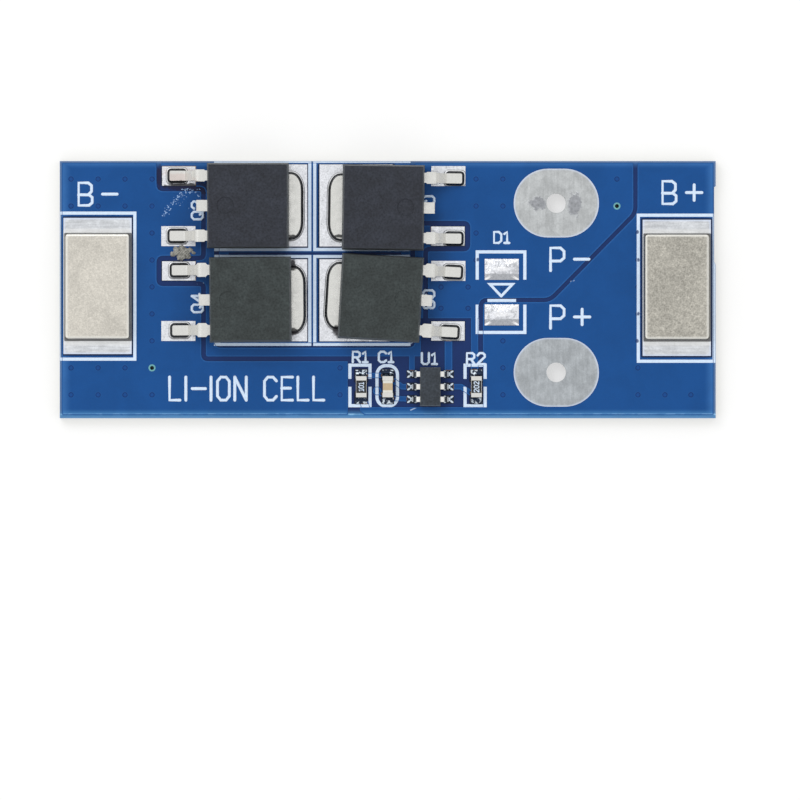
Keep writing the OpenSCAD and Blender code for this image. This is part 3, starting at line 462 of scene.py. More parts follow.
def mask_material(name, f, over_copper, in_gap, pads=()):
    """Solder mask: dark where it lies low in the gaps, with painted shade beside the pads, light along the cut edge.
    """
    m = Finish(name, roughness=0.4, specular=0.16)
    x, y, z = m.split(m.place)
    m.colour = m.mix(m.ramp(z, in_gap, over_copper), f.mask_low, f.mask_high)
    from_end, from_side = m.minus(HALF_X, m.size(x)), m.minus(HALF_Y, m.size(y))
    glow = m.largest((m.fall(from_end, 0.0, END_GLOW), m.fall(from_side, 0.0, SIDE_GLOW)))
    m.lay(glow, f.mask_edge, 0.85)
    m.lay(m.ramp(m.math("MINIMUM", from_side, from_end), 0.1, CUT_LINE, 0.5, 0.0), srgb(112, 128, 150))
    m.lay(m.fall(y, -HALF_Y + 0.2, -HALF_Y + 0.75), srgb(84, 150, 200), 0.45)
    broken = m.ramp(m.noise(1.3, 3.0, 0.7), 0.42, 0.6, 0.25, 0.8)
    copper_rim = m.times(m.band(from_side, 0.25, 0.34, 0.03), broken)
    m.lay(m.times(copper_rim, m.math("LESS_THAN", y, 0.0)), srgb(140, 188, 226))
    if pads:
        # Painted shade: a dark line round each pad where the mask steps down to it
        m.lay(m.round_boxes("Keyline", pads, Width=PAD_SHADE_WIDTH), srgb(14, 26, 58), 0.9)
        m.stain_and_shade(FOOT_STAINS + ((-13.9, 7.8, 1.0, 0.5),), srgb(30, 28, 52), 0.75)
        m.scratch(SCRATCHES_TOP, srgb(176, 196, 220), 0.9, 0.07, 0.1)
    else:
        m.scratch(SCRATCHES_UNDER, srgb(96, 150, 205), 0.55)
    clouds = m.clouds(0.35, 0.95, 1.06)
    m.tone(clouds, m.grain(7.0, 0.1)[1])
    weave = m.node("TexBrick", {
        "Vector": m.place, "Scale": 2.0, "Color1": (1.0, 1.0, 1.0), "Color2": (0.93, 0.93, 0.93),
        "Mortar": (0.86, 0.86, 0.86), "Mortar Size": 0.05, "Mortar Smooth": 1.0}).outputs["Color"]
    m.colour = m.mix(0.18, m.colour, weave, "MULTIPLY")
    m.lay(m.ramp(m.noise(3.1, 2.0, 0.9), 0.79, 0.83, 0.0, 0.35), srgb(150, 180, 215))
    return m.done(m.noise(2.2, 4.0, 0.6), 0.01, 0.5, m.ramp(clouds, 0.95, 1.06, 0.32, 0.42))


def ink_material(f):
    m = Finish("White ink", f.ink, roughness=0.55, specular=0.3)
    height, grain = m.grain(16.0, 0.08)
    m.tone(m.clouds(5.0, 0.93, 1.02), grain)
    m.lay(m.largest([m.patch((x, y, MASK_TOP), (0.1, 0.14, DEEP), 0.6, 6.0, 0.3) for x, y in INK_NICKS]),
          f.mask_low, 0.85)
    return m.done(height, 0.006, 0.4)


def land_material(name, f, colour, node, half, radius, patches, block=None):
    """Levelled tin on both sides of the board. patches are rough places: x, y, reach x, reach y, whether on top;
    block is the box of a weld block whose solder shows as streaks, with a pale band and a painted shadow line round
    it."""
    m = Finish(name, metallic=1.0, roughness=0.34)
    middle = centre(node)
    on_top = m.math("GREATER_THAN", m.split(m.place)[2], MIDDLE_Z)
    across, along, depth = (0.5, 5.5, 0.8) if block else (4.5, 0.5, 0.5)
    rough = 0.0
    for x, y, reach_x, reach_y, top in patches:
        place = (middle.x + x, middle.y + y, middle.z)
        mask = m.patch(place, (reach_x, reach_y, 3.0), 1.1, 2.6, 0.2 if top else 0.12)
        side = m.times(on_top, 0.85) if top else m.minus(1.0, on_top)
        rough = m.largest((rough, m.times(mask, side)))
    m.colour = m.mix(on_top, f.tin_under, colour)
    height, grain = m.grain(8.0, 0.3)
    m.tone(grain, m.use("Streaks", Across=across, Along=along, Depth=depth)["Tone"], m.clouds(1.1, 0.86, 1.1))
    crumb_height, crumbs = m.grain(5.0, 0.9)
    m.lay(rough, m.toned(f.tin_rough, crumbs))
    # Painted reflection: a pale blue rim round the land, for the mask's edge mirrored in the tin
    m.lay(m.border(middle, half, radius, 0.2), srgb(208, 219, 240), 0.8)
    if block:
        # The weld block's painted shadow: a dark line set a little down and to the right, inside a wider pale band
        low, high = (corner + Vector((0.03, -0.045, 0.0)) for corner in block)
        for width, level, line in ((0.5, 0.45, srgb(236, 236, 234)), (0.1, 0.85, srgb(70, 70, 72))):
            m.lay(m.times(m.round_boxes("Keyline", [(low, high)], Width=width), on_top), line, level)
    return m.done(m.times_plus(rough, m.times(crumb_height, 2.0), height), 0.012, 0.5, m.times_plus(rough, 0.3, 0.34))


def nickel_material(name, colour, grain_size, contrast, node, corner=0.34):
    """Tumbled nickel: sandy, with a painted highlight line round the top face and painted shade on its rounded edges.
    """
    m = Finish(name, colour, metallic=1.0, roughness=0.4)
    low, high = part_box(node)
    narrow, wide = (m.border(centre(node), (high - low) / 2 / MM, corner, width) for width in (0.11, 0.34))
    # Painted shade on the rounded edges, less on their steepest part, and a painted highlight line just inside them
    edge = m.times(narrow, m.times_plus(m.steepness(0.05, 0.3), -0.8, 1.0))
    painted_rim_highlight = m.math("MULTIPLY", m.minus(wide, m.times(edge, 1.4)), 1.5, clamp=True)
    height, grain = m.grain(grain_size, contrast)
    coarse_height, coarse = m.grain(grain_size * 0.45, contrast * 0.6)
    clouds = m.clouds(0.35, 0.91, 1.06)
    m.tone(grain, coarse, clouds)
    # Lays the painted highlight, then the painted shade
    m.lay(painted_rim_highlight, srgb(236, 235, 229), 0.85)
    m.lay(edge, srgb(58, 57, 54), 0.85)
    return m.done(m.plus(height, coarse_height), 0.012, 0.55, m.ramp(clouds, 0.93, 1.05, 0.36, 0.46))


def lead_material(f):
    """Dipped tin: duller on the clipped feet, with a painted pale sheen on the slopes and painted shade on the
    near-upright faces.
    """
    m = Finish("Dipped tin", f.lead, metallic=1.0, roughness=0.26)
    height, grain = m.grain(9.0, 0.14)
    clouds = m.clouds(2.2, 0.93, 1.03)
    foot = m.ramp(m.split(m.place)[2], FOOT_TOP + 0.04, FOOT_TOP + 0.5, 0.86, 1.0)
    # Painted sheen: the slopes are laid pale and made less metallic
    painted_slope_sheen = m.times(m.steepness(0.75, 0.97), m.fall(m.steepness(0.15, 0.3), 0.0, 1.0))
    m.feed(m.inputs["Metallic"], m.times_plus(painted_slope_sheen, -0.75, 1.0))
    m.tone(grain, clouds, m.use("Streaks", Across=9.0, Along=1.2, Depth=0.12)["Tone"], foot)
    # Burnt flux together with painted shade at the tabs' ends
    m.stain_and_shade(TAB_FLUX_AND_SHADE, srgb(44, 45, 46))
    m.stain_and_shade(((-15.9, 8.45, 1.3, 0.42),), srgb(206, 190, 184), 0.6)
    m.stain_and_shade(((-15.6, 8.1, 1.5, 0.2),), srgb(92, 82, 80), 0.8)
    m.lay(painted_slope_sheen, srgb(214, 212, 204), 0.6)
    # Painted shade on the near-upright faces
    m.lay(m.steepness(0.08, 0.25), srgb(116, 117, 116), 0.85)
    return m.done(height, 0.008, 0.45, m.ramp(clouds, 0.93, 1.03, 0.34, 0.24))


def solder_material(f):
    """Transistor solder: speckled pads, a painted highlight where the fillet starts to rise, and painted shade as a
    black line beside the metal.
    """
    m = Finish("Solder", f.solder, metallic=1.0, roughness=0.3)
    z = m.split(m.place)[2]
    height, grain = m.grain(7.0, 0.5)
    clouds = m.clouds(1.6, 0.86, 1.06)
    m.tone(grain, clouds)
    m.lay(m.ramp(m.noise(5.5, 3.0, 0.7), 0.62, 0.68, 0.0, 0.6), srgb(118, 121, 126))
    m.stain_and_shade(((-15.9, 8.9, 1.3, 0.4),), srgb(214, 198, 192), 0.6)
    start, painted_lip_highlight, painted_climb_shade = m.band(z, *SOLDER_START, 0.004), m.band(z, *SOLDER_LIP, 0.006), m.ramp(z, *SOLDER_CLIMB)
    # Painted highlight on the solder's raised rim, made less metallic there
    m.lay(painted_lip_highlight, srgb(244, 245, 246), 0.9)
    m.feed(m.inputs["Metallic"], m.times_plus(painted_lip_highlight, -0.8, 1.0))
    # Painted shade: the rim's downward-facing side, the rising fillet and a thin line where the fillet starts
    painted_underside_shade = m.times(painted_lip_highlight, m.ramp(m.times(m.facing(1), -1.0), 0.12, 0.4))
    m.lay(m.largest((painted_climb_shade, m.times(painted_underside_shade, 0.8), m.times(start, 0.55))), srgb(54, 56, 58))
    # Burnt flux together with painted shade at the tabs' ends, and burnt flux beside the upper left foot
    m.stain_and_shade(TAB_FLUX_AND_SHADE + FOOT_STAINS, srgb(40, 38, 42))
    return m.done(m.plus(height, m.noise(2.0, 2.0, 0.5)), 0.02, 0.5, m.ramp(clouds, 0.86, 1.06, 0.4, 0.26))


def hipped_solder_material(f):
    """Solder left on the empty pads: painted highlights towards the corners and in the middles, with painted shade on
    the uneven lower side and the downward-facing slopes.
    """
    m = Finish("Empty pad solder", f.solder, metallic=1.0, roughness=0.24)
    height, grain = m.grain(6.0, 0.5)
    boxes = loose_boxes("d1_pad_solder")
    # Painted shade on slopes that face down and along each pad's lower side, with dark noise
    slope = m.ramp(m.times(m.facing(1), -1.0), 0.05, 0.25, 0.0, 0.35)
    wander = m.ramp(m.noise(2.4, 3.0, 0.6, 0.8), 0.5, 0.6, 0.0, 0.4)
    uneven = m.times_plus(m.minus(m.noise(3.0, 2.0), 0.5), 0.16, m.split(m.place)[1])
    painted_low_side_shade = m.times(m.largest([m.band(uneven, low.y - 0.05, low.y + 0.28 * (high.y - low.y), 0.06)
                                   for low, high in boxes]), 0.6)
    m.lay(m.largest((slope, wander, painted_low_side_shade)), srgb(112, 115, 120))
    # Painted highlights in the middles and along the diagonals, made less metallic there
    middles = m.largest([m.patch((low + high) / 2 + Vector((0.0, 0.05, 0.0)), (0.62, 0.16, DEEP), 0.5, 3.0, 0.4)
                         for low, high in boxes])
    painted_hip_highlights = m.round_boxes("Hip lines", boxes, Width=0.16, From=0.6)
    m.lay(middles, srgb(242, 243, 245), 0.6)
    m.lay(painted_hip_highlights, srgb(250, 250, 250), 0.85)
    m.feed(m.inputs["Metallic"], m.minus(1.0, m.largest((m.times(painted_hip_highlights, 0.8), m.times(middles, 0.4)))))
    m.tone(grain)
    return m.done(m.plus(height, m.noise(1.6, 2.0, 0.5)), 0.03, 0.6)


def chip_solder_material(name, node, hips, corner=0.05):
    """Solder of the small parts: painted shade darkens the whole pad, standing for its steep fillets, with painted
    highlights along the diagonals of the six-pin chip's pads and as bright curls at the other pads' borders.
    """
    m = Finish(name, metallic=1.0, roughness=0.3)
    boxes = loose_boxes(node)
    if hips:
        shine = m.round_boxes("Hip lines", boxes, Width=0.42)
    else:
        rims = m.largest([m.border((low + high) / 2, (high - low) / 2, corner, 0.15) for low, high in boxes])
        shine = m.times(rims, m.ramp(m.noise(3.4, 2.0, 0.6, 0.6), 0.52, 0.6))
    # The dark base is painted shade, and the bright colour laid by the mask is painted highlight
    m.colour = m.mix(shine, srgb(40, 50, 68), srgb(206, 218, 228))
    return m.sanded(12.0, 0.5, 0.01, 0.5)


def chip_lead_material(f):
    """Leads of the six-pin chip: a bright knee, a slope painted dark as shade and a dull foot."""
    m = Finish("Chip leads", metallic=1.0, roughness=0.3)
    z = m.split(m.place)[2]
    low, high = (corner.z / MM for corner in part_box("u1_leads"))
    m.colour = m.mix(m.ramp(z, high - 0.12, high - 0.02), srgb(170, 176, 182), f.lead)
    # Painted shade on the slope between knee and foot
    m.lay(m.band(z, low + 0.19, high - 0.13, 0.04), srgb(26, 32, 46))
    return m.sanded(12.0, 0.3, 0.008, 0.4)


def mould_material(name, colour, dust=0.12):
    """Filled epoxy: matt, with a fine grain, faint pale dust and painted light on the steep sides."""
    m = Finish(name, colour, roughness=0.62, specular=0.22)
    height, grain = m.grain(6.0, 1.0)
    clouds = m.clouds(0.8, 0.8, 1.2)
    m.tone(grain, clouds)
    m.lay(m.ramp(m.noise(4.5, 3.0, 0.8), 0.64, 0.74, 0.0, dust), srgb(104, 108, 110))
    # Painted light: the steep sides are laid lighter, as if lit
    m.lay(m.steepness(0.3, 0.9), srgb(112, 116, 118), 0.45)
    return m.done(height, 0.016, 0.5, m.ramp(clouds, 0.8, 1.2, 0.56, 0.68))


def plain_material(name, colour, roughness, metallic=0.0, grain=(8.0, 0.15), specular=0.4):
    m = Finish(name, colour, metallic, roughness, specular)
    height, tone = m.grain(*grain)
    m.tone(tone, m.clouds(1.5, 0.94, 1.05))
    return m.done(height, 0.008, 0.4)


def capped_ceramic_material(name, colour, node, bare):
    """Ceramic whose end metal creeps over it; bare is how far from its middle it stays clean, in millimetres."""
    m = Finish(name, colour, roughness=0.45)
    from_middle = m.size(m.minus(m.split(m.place)[1], centre(node).y))
    m.lay(m.ramp(from_middle, bare - 0.02, bare + 0.02), srgb(214, 214, 206))
    return m.sanded(10.0, 0.25, 0.008, 0.4)


def laminate_material():
    """Woven glass in epoxy: faint layers show at the cut edge."""
    m = Finish("Glass laminate", roughness=0.6, specular=0.4)
    x, y, z = m.split(m.place)
    layers = m.noise_at(m.joined(m.times(x, 0.8), m.times(y, 0.8), m.times(z, 14.0)), 1.0, 3.0)
    m.colour = m.mix(m.ramp(layers, 0.35, 0.65), srgb(128, 134, 98), srgb(186, 184, 144))
    half = CORE_TOP - MIDDLE_Z
    m.lay(m.ramp(m.size(m.minus(z, MIDDLE_Z)), half - 0.02, half), srgb(38, 46, 62))
    height, grain = m.grain(10.0, 0.3)
    m.tone(grain)
    return m.done(m.plus(height, layers), 0.02, 0.6)


# ---- operators: finishes

TRANSISTORS = ("q1", "q2", "q3", "q4")

# Rough places on the lands, from each land's middle in millimetres: x, y, reach x, reach y, whether on top
P_MINUS_PATCHES = ((-1.35, 0.0, 0.6, 0.55, True), (1.4, -0.1, 0.5, 0.85, True), (0.9, 0.3, 2.2, 2.0, False))
P_PLUS_PATCHES = ((0.9, -0.2, 2.2, 2.1, False),)
B_MINUS_PATCHES = ((0.4, -1.9, 1.45, 1.5, False), (0.0, 2.3, 1.15, 1.15, False))
B_PLUS_PATCHES = ((0.0, 2.9, 2.7, 0.9, False), (-1.9, 2.3, 0.7, 1.1, False), (0.3, -1.2, 1.1, 0.6, False),
                  (0.2, 1.4, 0.8, 0.6, False))


class BoardOperator:
    bl_options = {"REGISTER", "UNDO"}


class BOARD_OT_dress_layers(BoardOperator, bpy.types.Operator):
    """Finish the laminate, copper, mask, print and plated holes"""
    bl_idname = "board.dress_layers"
    bl_label = "Dress the layers"

    def execute(self, context):
        f = context.scene.board_finishes
        dress(laminate_material(), "laminate")
        dress(plain_material("Etched copper", srgb(128, 104, 84), 0.45, 1.0), "copper_top", "copper_bottom")
        pads = [max(loose_boxes(q + "_solder"), key=lambda box: box[1].x - box[0].x) for q in TRANSISTORS]
        pads += loose_boxes("cell_land_b_minus", "cell_land_b_plus", "r1_solder", "c1_solder", "r2_solder")
        dress(mask_material("Mask on top", f, MASK_TOP - 0.01, CORE_TOP + MASK_THICK, pads), "solder_mask_top")
        dress(mask_material("Mask under", f, MASK_UNDER + 0.01, CORE_UNDER - MASK_THICK), "solder_mask_bottom")
        dress(ink_material(f), "printed_outlines")
        dress(plain_material("Plated hole", srgb(112, 168, 172), 0.35, 1.0, (10.0, 0.3)), "via_barrels")
        return {"FINISHED"}


class BOARD_OT_dress_metal(BoardOperator, bpy.types.Operator):
    """Finish the lands, the weld blocks, the leads and the solder"""
    bl_idname = "board.dress_metal"
    bl_label = "Dress the metal"

    def execute(self, context):
        f = context.scene.board_finishes
        for sign, colour, patches in (("minus", f.tin_minus, P_MINUS_PATCHES), ("plus", f.tin_plus, P_PLUS_PATCHES)):
            node = "cable_land_p_" + sign
            dress(land_material("Land P " + sign, f, colour, node, (3.25, 2.65), 2.65, patches), node)
        for sign, colour, grain, patches in (("minus", f.nickel, (10.0, 0.5), B_MINUS_PATCHES),
                                             ("plus", f.nickel_dull, (8.0, 0.95), B_PLUS_PATCHES)):
            node, weld = "cell_land_b_" + sign, "b_" + sign + "_nickel_block"
            low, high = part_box(node)
            block = [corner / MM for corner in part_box(weld)]
            half = (high - low) / 2 / MM
            dress(land_material("Land B " + sign, f, f.tin, node, half, 0.3, patches, block), node)
            dress(nickel_material("Nickel " + sign, colour, *grain, weld), weld)
        dress(lead_material(f), "r1_end_caps", "r2_end_caps", "c1_end_caps", *[
            q + part for q in TRANSISTORS for part in ("_drain_tab", "_gate_lead", "_source_lead")])
        dress(chip_lead_material(f), "u1_leads")
        dress(solder_material(f), "b_minus_solder_film", "b_plus_solder_film", *[q + "_solder" for q in TRANSISTORS])
        dress(hipped_solder_material(f), "d1_pad_solder")
        for part in ("r1", "r2", "c1", "u1"):
            node = part + "_solder"
            dress(chip_solder_material("Solder " + part, node, part == "u1"), node)
        return {"FINISHED"}


class BOARD_OT_dress_parts(BoardOperator, bpy.types.Operator):
    """Finish the mouldings and the chips"""
    bl_idname = "board.dress_parts"
    bl_label = "Dress the parts"

    def execute(self, context):
        f = context.scene.board_finishes
        dress(mould_material("Moulding, upper row", f.mould_cool), "q1_body", "q2_body")
        dress(mould_material("Moulding, lower row", f.mould_warm), "q3_body", "q4_body")
        dress(mould_material("Moulding, chip", f.mould_chip, 0.06), "u1_body")
        dress(plain_material("Alumina", srgb(226, 226, 218), 0.5), "r1_ceramic", "r2_ceramic")
        glaze = plain_material("Black glaze", srgb(30, 31, 33), 0.25, 0.0, (12.0, 0.2), 0.5)
        dress(glaze, "r1_overcoat", "r2_overcoat")
        dress(capped_ceramic_material("Tan ceramic", srgb(184, 164, 132), "c1_ceramic", 0.27), "c1_ceramic")
        return {"FINISHED"}


# ---- mask and flux pieces

def gather(name, made, slot, *materials):
    """Joins finished copies into one piece that rides on the board."""
    activate(*made)
    if len(made) > 1:
        bpy.ops.object.join()
    piece = active()
    piece.name = name
    piece.data.name = name
    if materials:
        piece.data.materials.clear()
        for material in materials:
            piece.data.materials.append(material)
    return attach(piece, "root")


def copied(pattern, places, turn_over=False):
    """Copies of a small mesh, each with its own mesh, moved to places in millimetres."""
    made = []
    for x, y, z in places:
        twin = pattern.copy()
        twin.data = pattern.data.copy()
        for v in twin.data.vertices:
            v.co.z *= -1 if turn_over else 1
            v.co += Vector((x, y, z)) * MM
        if turn_over:
            twin.data.flip_normals()
        bpy.context.scene.collection.objects.link(twin)
        made.append(twin)
    return made


def ringed_disc(name, sides, rings, skirt):
    """A disc turned round Z from (radius, height) rings, outermost first, over a skirt; in millimetres."""
    disc = added(name, bpy.ops.mesh.primitive_cylinder_add, vertices=sides, radius=rings[0][0] * MM, depth=skirt * MM)
    bpy.ops.object.mode_set(mode="EDIT")
    bpy.ops.mesh.select_mode(type="FACE")
    bpy.ops.mesh.select_all(action="DESELECT")
    bpy.ops.object.mode_set(mode="OBJECT")
    for face in disc.data.polygons:
        face.select = face.normal.z > 0.9
    bpy.ops.object.mode_set(mode="EDIT")
    apothem = math.cos(math.pi / sides)
    for (outer, _), (inner, _) in zip(rings, rings[1:]):
        bpy.ops.mesh.inset(thickness=(outer - inner) * apothem * MM, use_boundary=True)
    bpy.ops.object.mode_set(mode="OBJECT")
    for v in disc.data.vertices:
        if v.co.z > 0:
            out = math.hypot(v.co.x, v.co.y) / MM
            v.co.z = min(rings, key=lambda ring: abs(ring[0] - out))[1] * MM
    return disc


# A covered hole's mask in rings of radius and height, its skirt, and where its dome and its ring of painted
# shade end; an open hole's filling the same way; all in millimetres
TENT_RINGS, TENT_SKIRT = ((0.262, -0.004), (0.235, 0.003), (0.2, 0.004), (0.14, 0.001), (0.07, 0.002)), 0.012
DOME_END, RING_END = 0.14, 0.21
PLUG_RINGS, PLUG_SKIRT = ((0.15, 0.3), (0.12, 0.22), (0.06, 0.16)), 0.4


class BOARD_OT_tents(BoardOperator, bpy.types.Operator):
    """Raise the mask's ring and low dome over each plated hole, and fill the two open ones"""
    bl_idname = "board.tents"
    bl_label = "Covered holes"

    def execute(self, context):
        pattern = ringed_disc("tent", 20, TENT_RINGS, TENT_SKIRT)
        # A dark ring of painted shade where the mask dips into the hole, and a faint painted highlight on the crest
        # round it
        for name, colour, specular in (("Mask over a hole", srgb(16, 68, 132), 0.16),
                                       ("Painted shade on a hole's rim", srgb(10, 46, 102), 0.14),
                                       ("Painted highlight round a hole", srgb(22, 78, 140), 0.16)):
            pattern.data.materials.append(plain_material(name, colour, 0.4, specular=specular))
        for face in pattern.data.polygons:
            out = math.hypot(face.center.x, face.center.y) / MM
            face.material_index = 0 if out < DOME_END else 1 if out < RING_END else 2
        lands = [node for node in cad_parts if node.startswith(("cable_", "cell_"))]
        solders = [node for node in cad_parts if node.endswith("_solder")]
        middles = {True: [], False: []}
        for low, high in loose_boxes("via_barrels"):
            middles[high.z > COPPER_TOP + 0.01].append((low + high) / 2)
        for name, level, over in (("tents_top", MASK_TOP, solders + lands), ("tents_under", MASK_UNDER, lands)):
            boxes = loose_boxes(*over)
            places = [(at.x, at.y, level) for at in middles[False] if not any(
                low.x - 0.2 < at.x < high.x + 0.2 and low.y - 0.2 < at.y < high.y + 0.2 for low, high in boxes)]
            gather(name, copied(pattern, places, level == MASK_UNDER), "blue_solder_mask")
        plug = ringed_disc("plug", 20, PLUG_RINGS, PLUG_SKIRT)
        gather("hole_fillings", copied(plug, middles[True]), "solder",
               plain_material("Filled hole", srgb(14, 22, 24), 0.3, 0.0, (10.0, 0.3)))
        for used in (pattern, plug):
            bpy.data.objects.remove(used)
        return {"FINISHED"}


# Half the width of the thin line of mask in millimetres, and how far its round section is flattened
SHOULDER_HALF, SHOULDER_SQUASH = 0.045, 0.12


class BOARD_OT_mask_shoulders(BoardOperator, bpy.types.Operator):
    """Draw the pale line where the mask thins over the edges of the copper"""
    bl_idname = "board.mask_shoulders"
    bl_label = "Mask over copper edges"

    def copper_edges(self, node, level, up):
        """The upper edges of the mask's steps on one side of the board, as pairs of places in millimetres."""
        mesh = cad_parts[node].data
        keys = rounded(mesh)
        flat, wall = set(), set()
        for face in mesh.polygons:
            corners = [keys[v] for v in face.vertices]
            edges = {frozenset(pair) for pair in zip(corners, corners[1:] + corners[:1])}
            heights = [place[2] for place in corners]
            if face.normal.z * up > 0.9 and abs(heights[0] - level) < 0.002:
                flat |= edges
            elif abs(face.normal.z) < 0.1 and max(heights) - min(heights) > MASK_THICK * 1.2:
                wall |= edges
        return [tuple(sorted(edge)) for edge in flat & wall if len(edge) == 2]

    def execute(self, context):
        material = plain_material("Thin mask", srgb(30, 86, 150), 0.4, specular=0.16)
        for name, node, level, up in (("mask_shoulder_top", "solder_mask_top", MASK_TOP, 1),
                                      ("mask_shoulder_under", "solder_mask_bottom", MASK_UNDER, -1)):
            edges = sorted(self.copper_edges(node, level, up))
            places = sorted({place for edge in edges for place in edge})
            order = {place: i for i, place in enumerate(places)}
            line = added(name, bpy.ops.mesh.primitive_plane_add, size=MM)
            line.data.clear_geometry()
            line.data.from_pydata([Vector(place) * MM for place in places],
                                  [[order[a], order[b]] for a, b in edges], [])
            activate(line)
            bpy.ops.object.convert(target="CURVE")
            curve = active().data
            curve.bevel_depth = SHOULDER_HALF * MM
            curve.bevel_resolution = 0
            curve.use_fill_caps = True
            bpy.ops.object.convert(target="MESH")
            for v in active().data.vertices:
                v.co.z = (level + (v.co.z / MM - level) * SHOULDER_SQUASH) * MM
            gather(name, [active()], "blue_solder_mask", material)
        return {"FINISHED"}


# Lumps of flux: x, y, reach, height; rows of specks: from, to, how many, how far they stray; in millimetres
FLUX_LUMPS = ((-15.95, 2.92, 0.42, 0.2), (-15.45, 2.85, 0.38, 0.18), (-15.7, 3.2, 0.26, 0.14),
              (-15.1, 3.02, 0.26, 0.12), (-16.35, 2.72, 0.24, 0.1), (-15.75, 2.5, 0.36, 0.14),
              (-15.25, 2.55, 0.26, 0.1), (-14.8, 2.8, 0.16, 0.08), (-16.2, 3.2, 0.14, 0.07))
SPECK_ROWS = (((-17.0, 5.7), (-15.1, 7.7), 64, 0.32), ((-15.9, 7.2), (-14.9, 7.55), 16, 0.2),
              ((-15.2, 0.7), (-13.6, 1.4), 8, 0.6), ((-15.4, 6.0), (-13.9, 7.4), 10, 0.5))
SPECK_SIZES = (0.018, 0.024, 0.032, 0.045)
SPECK_RINGS = ((1.0, 0.0), (0.7, 0.3), (0.3, 0.42))


class BOARD_OT_flux(BoardOperator, bpy.types.Operator):
    """Leave the crumbs and specks of flux that stayed on the board after soldering"""
    bl_idname = "board.flux"
    bl_label = "Flux residue"

    def crumbs(self):
        crumb = plain_material("Flux crumbs", srgb(146, 145, 138), 0.5, 0.0, (4.0, 1.8))
        lumps = []
        for x, y, reach, tall in FLUX_LUMPS:
            lumps.append(added("lump", bpy.ops.mesh.primitive_ico_sphere_add, subdivisions=3, radius=1.0))
            for v in active().data.vertices:
                away = 1.0 + 0.3 * math.sin(7 * v.co.x + 9 * y) * math.cos(8 * v.co.y + 5 * x)
                v.co = Vector(((x + v.co.x * reach * away), (y + v.co.y * reach * 0.8 * away),
                               (MASK_TOP + 0.01 + v.co.z * tall))) * MM
        piece = gather("flux_crumbs", lumps, "solder", crumb)
        activate(piece)
        remesh = piece.modifiers.new("One skin", "REMESH")
        remesh.mode = "VOXEL"
        remesh.voxel_size = 0.035 * MM
        bpy.ops.object.modifier_apply(modifier=remesh.name)
        for v in piece.data.vertices:
            rise = max(0.0, v.co.z / MM - MASK_TOP)
            ragged = math.sin(v.co.x / MM * 31) * math.cos(v.co.y / MM * 27) * 0.3 + 1.0
            v.co.z = (MASK_TOP - 0.005 + rise * ragged) * MM
        piece.data.materials.clear()
        piece.data.materials.append(crumb)
        bpy.ops.object.shade_smooth()

    def specks(self):
        draw = random.Random(7)
        speck = plain_material("Flux specks", srgb(140, 172, 214), 0.3, 0.0, (9.0, 0.3))
        pattern = ringed_disc("speck", 8, SPECK_RINGS, 0.02)
        specks = []
        for start, end, count, spread in SPECK_ROWS:
            for _ in range(count):
                t = draw.random()
                x = start[0] + (end[0] - start[0]) * t + draw.uniform(-spread, spread)
                y = start[1] + (end[1] - start[1]) * t + draw.uniform(-spread, spread)
                size = draw.choice(SPECK_SIZES)
                specks += copied(pattern, [(0, 0, 0)])
                turn, long = draw.uniform(0, math.pi), draw.uniform(1.0, 2.4)
                c, d = math.cos(turn), math.sin(turn)
                for v in specks[-1].data.vertices:
                    a, b = v.co.x / MM * size * long, v.co.y / MM * size
                    v.co = Vector((x + a * c - b * d, y + a * d + b * c,
                                   MASK_TOP + v.co.z / MM * size - 0.001)) * MM
        gather("flux_specks", specks, "solder", speck)
        bpy.data.objects.remove(pattern)

    def execute(self, context):
        self.crumbs()
        self.specks()
        return {"FINISHED"}


# ---- lettering

# Each letter's width and its strokes, in hundredths of its height: x,y points, with / between strokes.
# A stroke whose first and last points agree is closed.
LETTERS = {
    "B": (68, "0,47 46,47 60,36 60,12 46,0 0,0 0,100 42,100 57,88 57,62 46,50"),
    "P": (64, "0,0 0,100 44,100 60,85 60,56 44,42 0,42"),
    "D": (62, "0,0 0,100 36,100 56,80 56,20 36,0 0,0"),
    "R": (64, "0,0 0,100 42,100 56,86 56,60 42,46 0,46 / 30,46 58,0"),
    "C": (62, "58,84 42,100 16,100 0,82 0,18 16,0 42,0 58,16"),
    "U": (60, "0,100 0,18 14,0 40,0 54,18 54,100"),
    "Q": (66, "16,0 0,18 0,82 16,100 42,100 58,82 58,18 42,0 16,0 / 36,26 62,-6"),
    "L": (54, "0,100 0,0 50,0"),
    "I": (12, "3,0 3,100"),
    "O": (62, "16,0 0,18 0,82 16,100 42,100 58,82 58,18 42,0 16,0"),
    "N": (60, "0,0 0,100 / 0,100 56,0 / 56,0 56,100"),
    "A": (60, "0,0 0,80 16,100 40,100 56,80 56,0 / 0,44 56,44"),
    "E": (56, "52,100 0,100 0,0 52,0 / 0,52 42,52"),
    "0": (60, "16,0 0,18 0,82 16,100 38,100 54,82 54,18 38,0 16,0"),
    "1": (36, "0,82 20,100 20,0 / 0,0 36,0"),
    "2": (60, "0,80 14,100 40,100 54,84 54,66 0,4 / 0,0 56,0"),
    "3": (60, "0,86 14,100 40,100 54,86 54,66 40,52 22,52 / 40,52 54,38 54,14 40,0 14,0 0,14"),
    "4": (60, "42,0 42,100 / 42,100 0,30 / 0,30 56,30"),
    "-": (66, "0,50 64,50"),
    "+": (70, "0,50 68,50 / 34,16 34,84"),
    " ": (40, ""),
}


def spaced(words, height, gap=0.24, wide=1.0):
    """The strokes of some words in a row, in millimetres, from (0, 0); and their width."""
    at, strokes = 0.0, []
    for letter in words:
        width, lines = LETTERS[letter]
        for line in filter(None, lines.split("/")):
            points = [[int(part) / 100 for part in point.split(",")] for point in line.split()]
            strokes.append([(at + x * height * wide, y * height) for x, y in points])
        at += (width / 100 * wide + gap) * height
    return strokes, at - gap * height


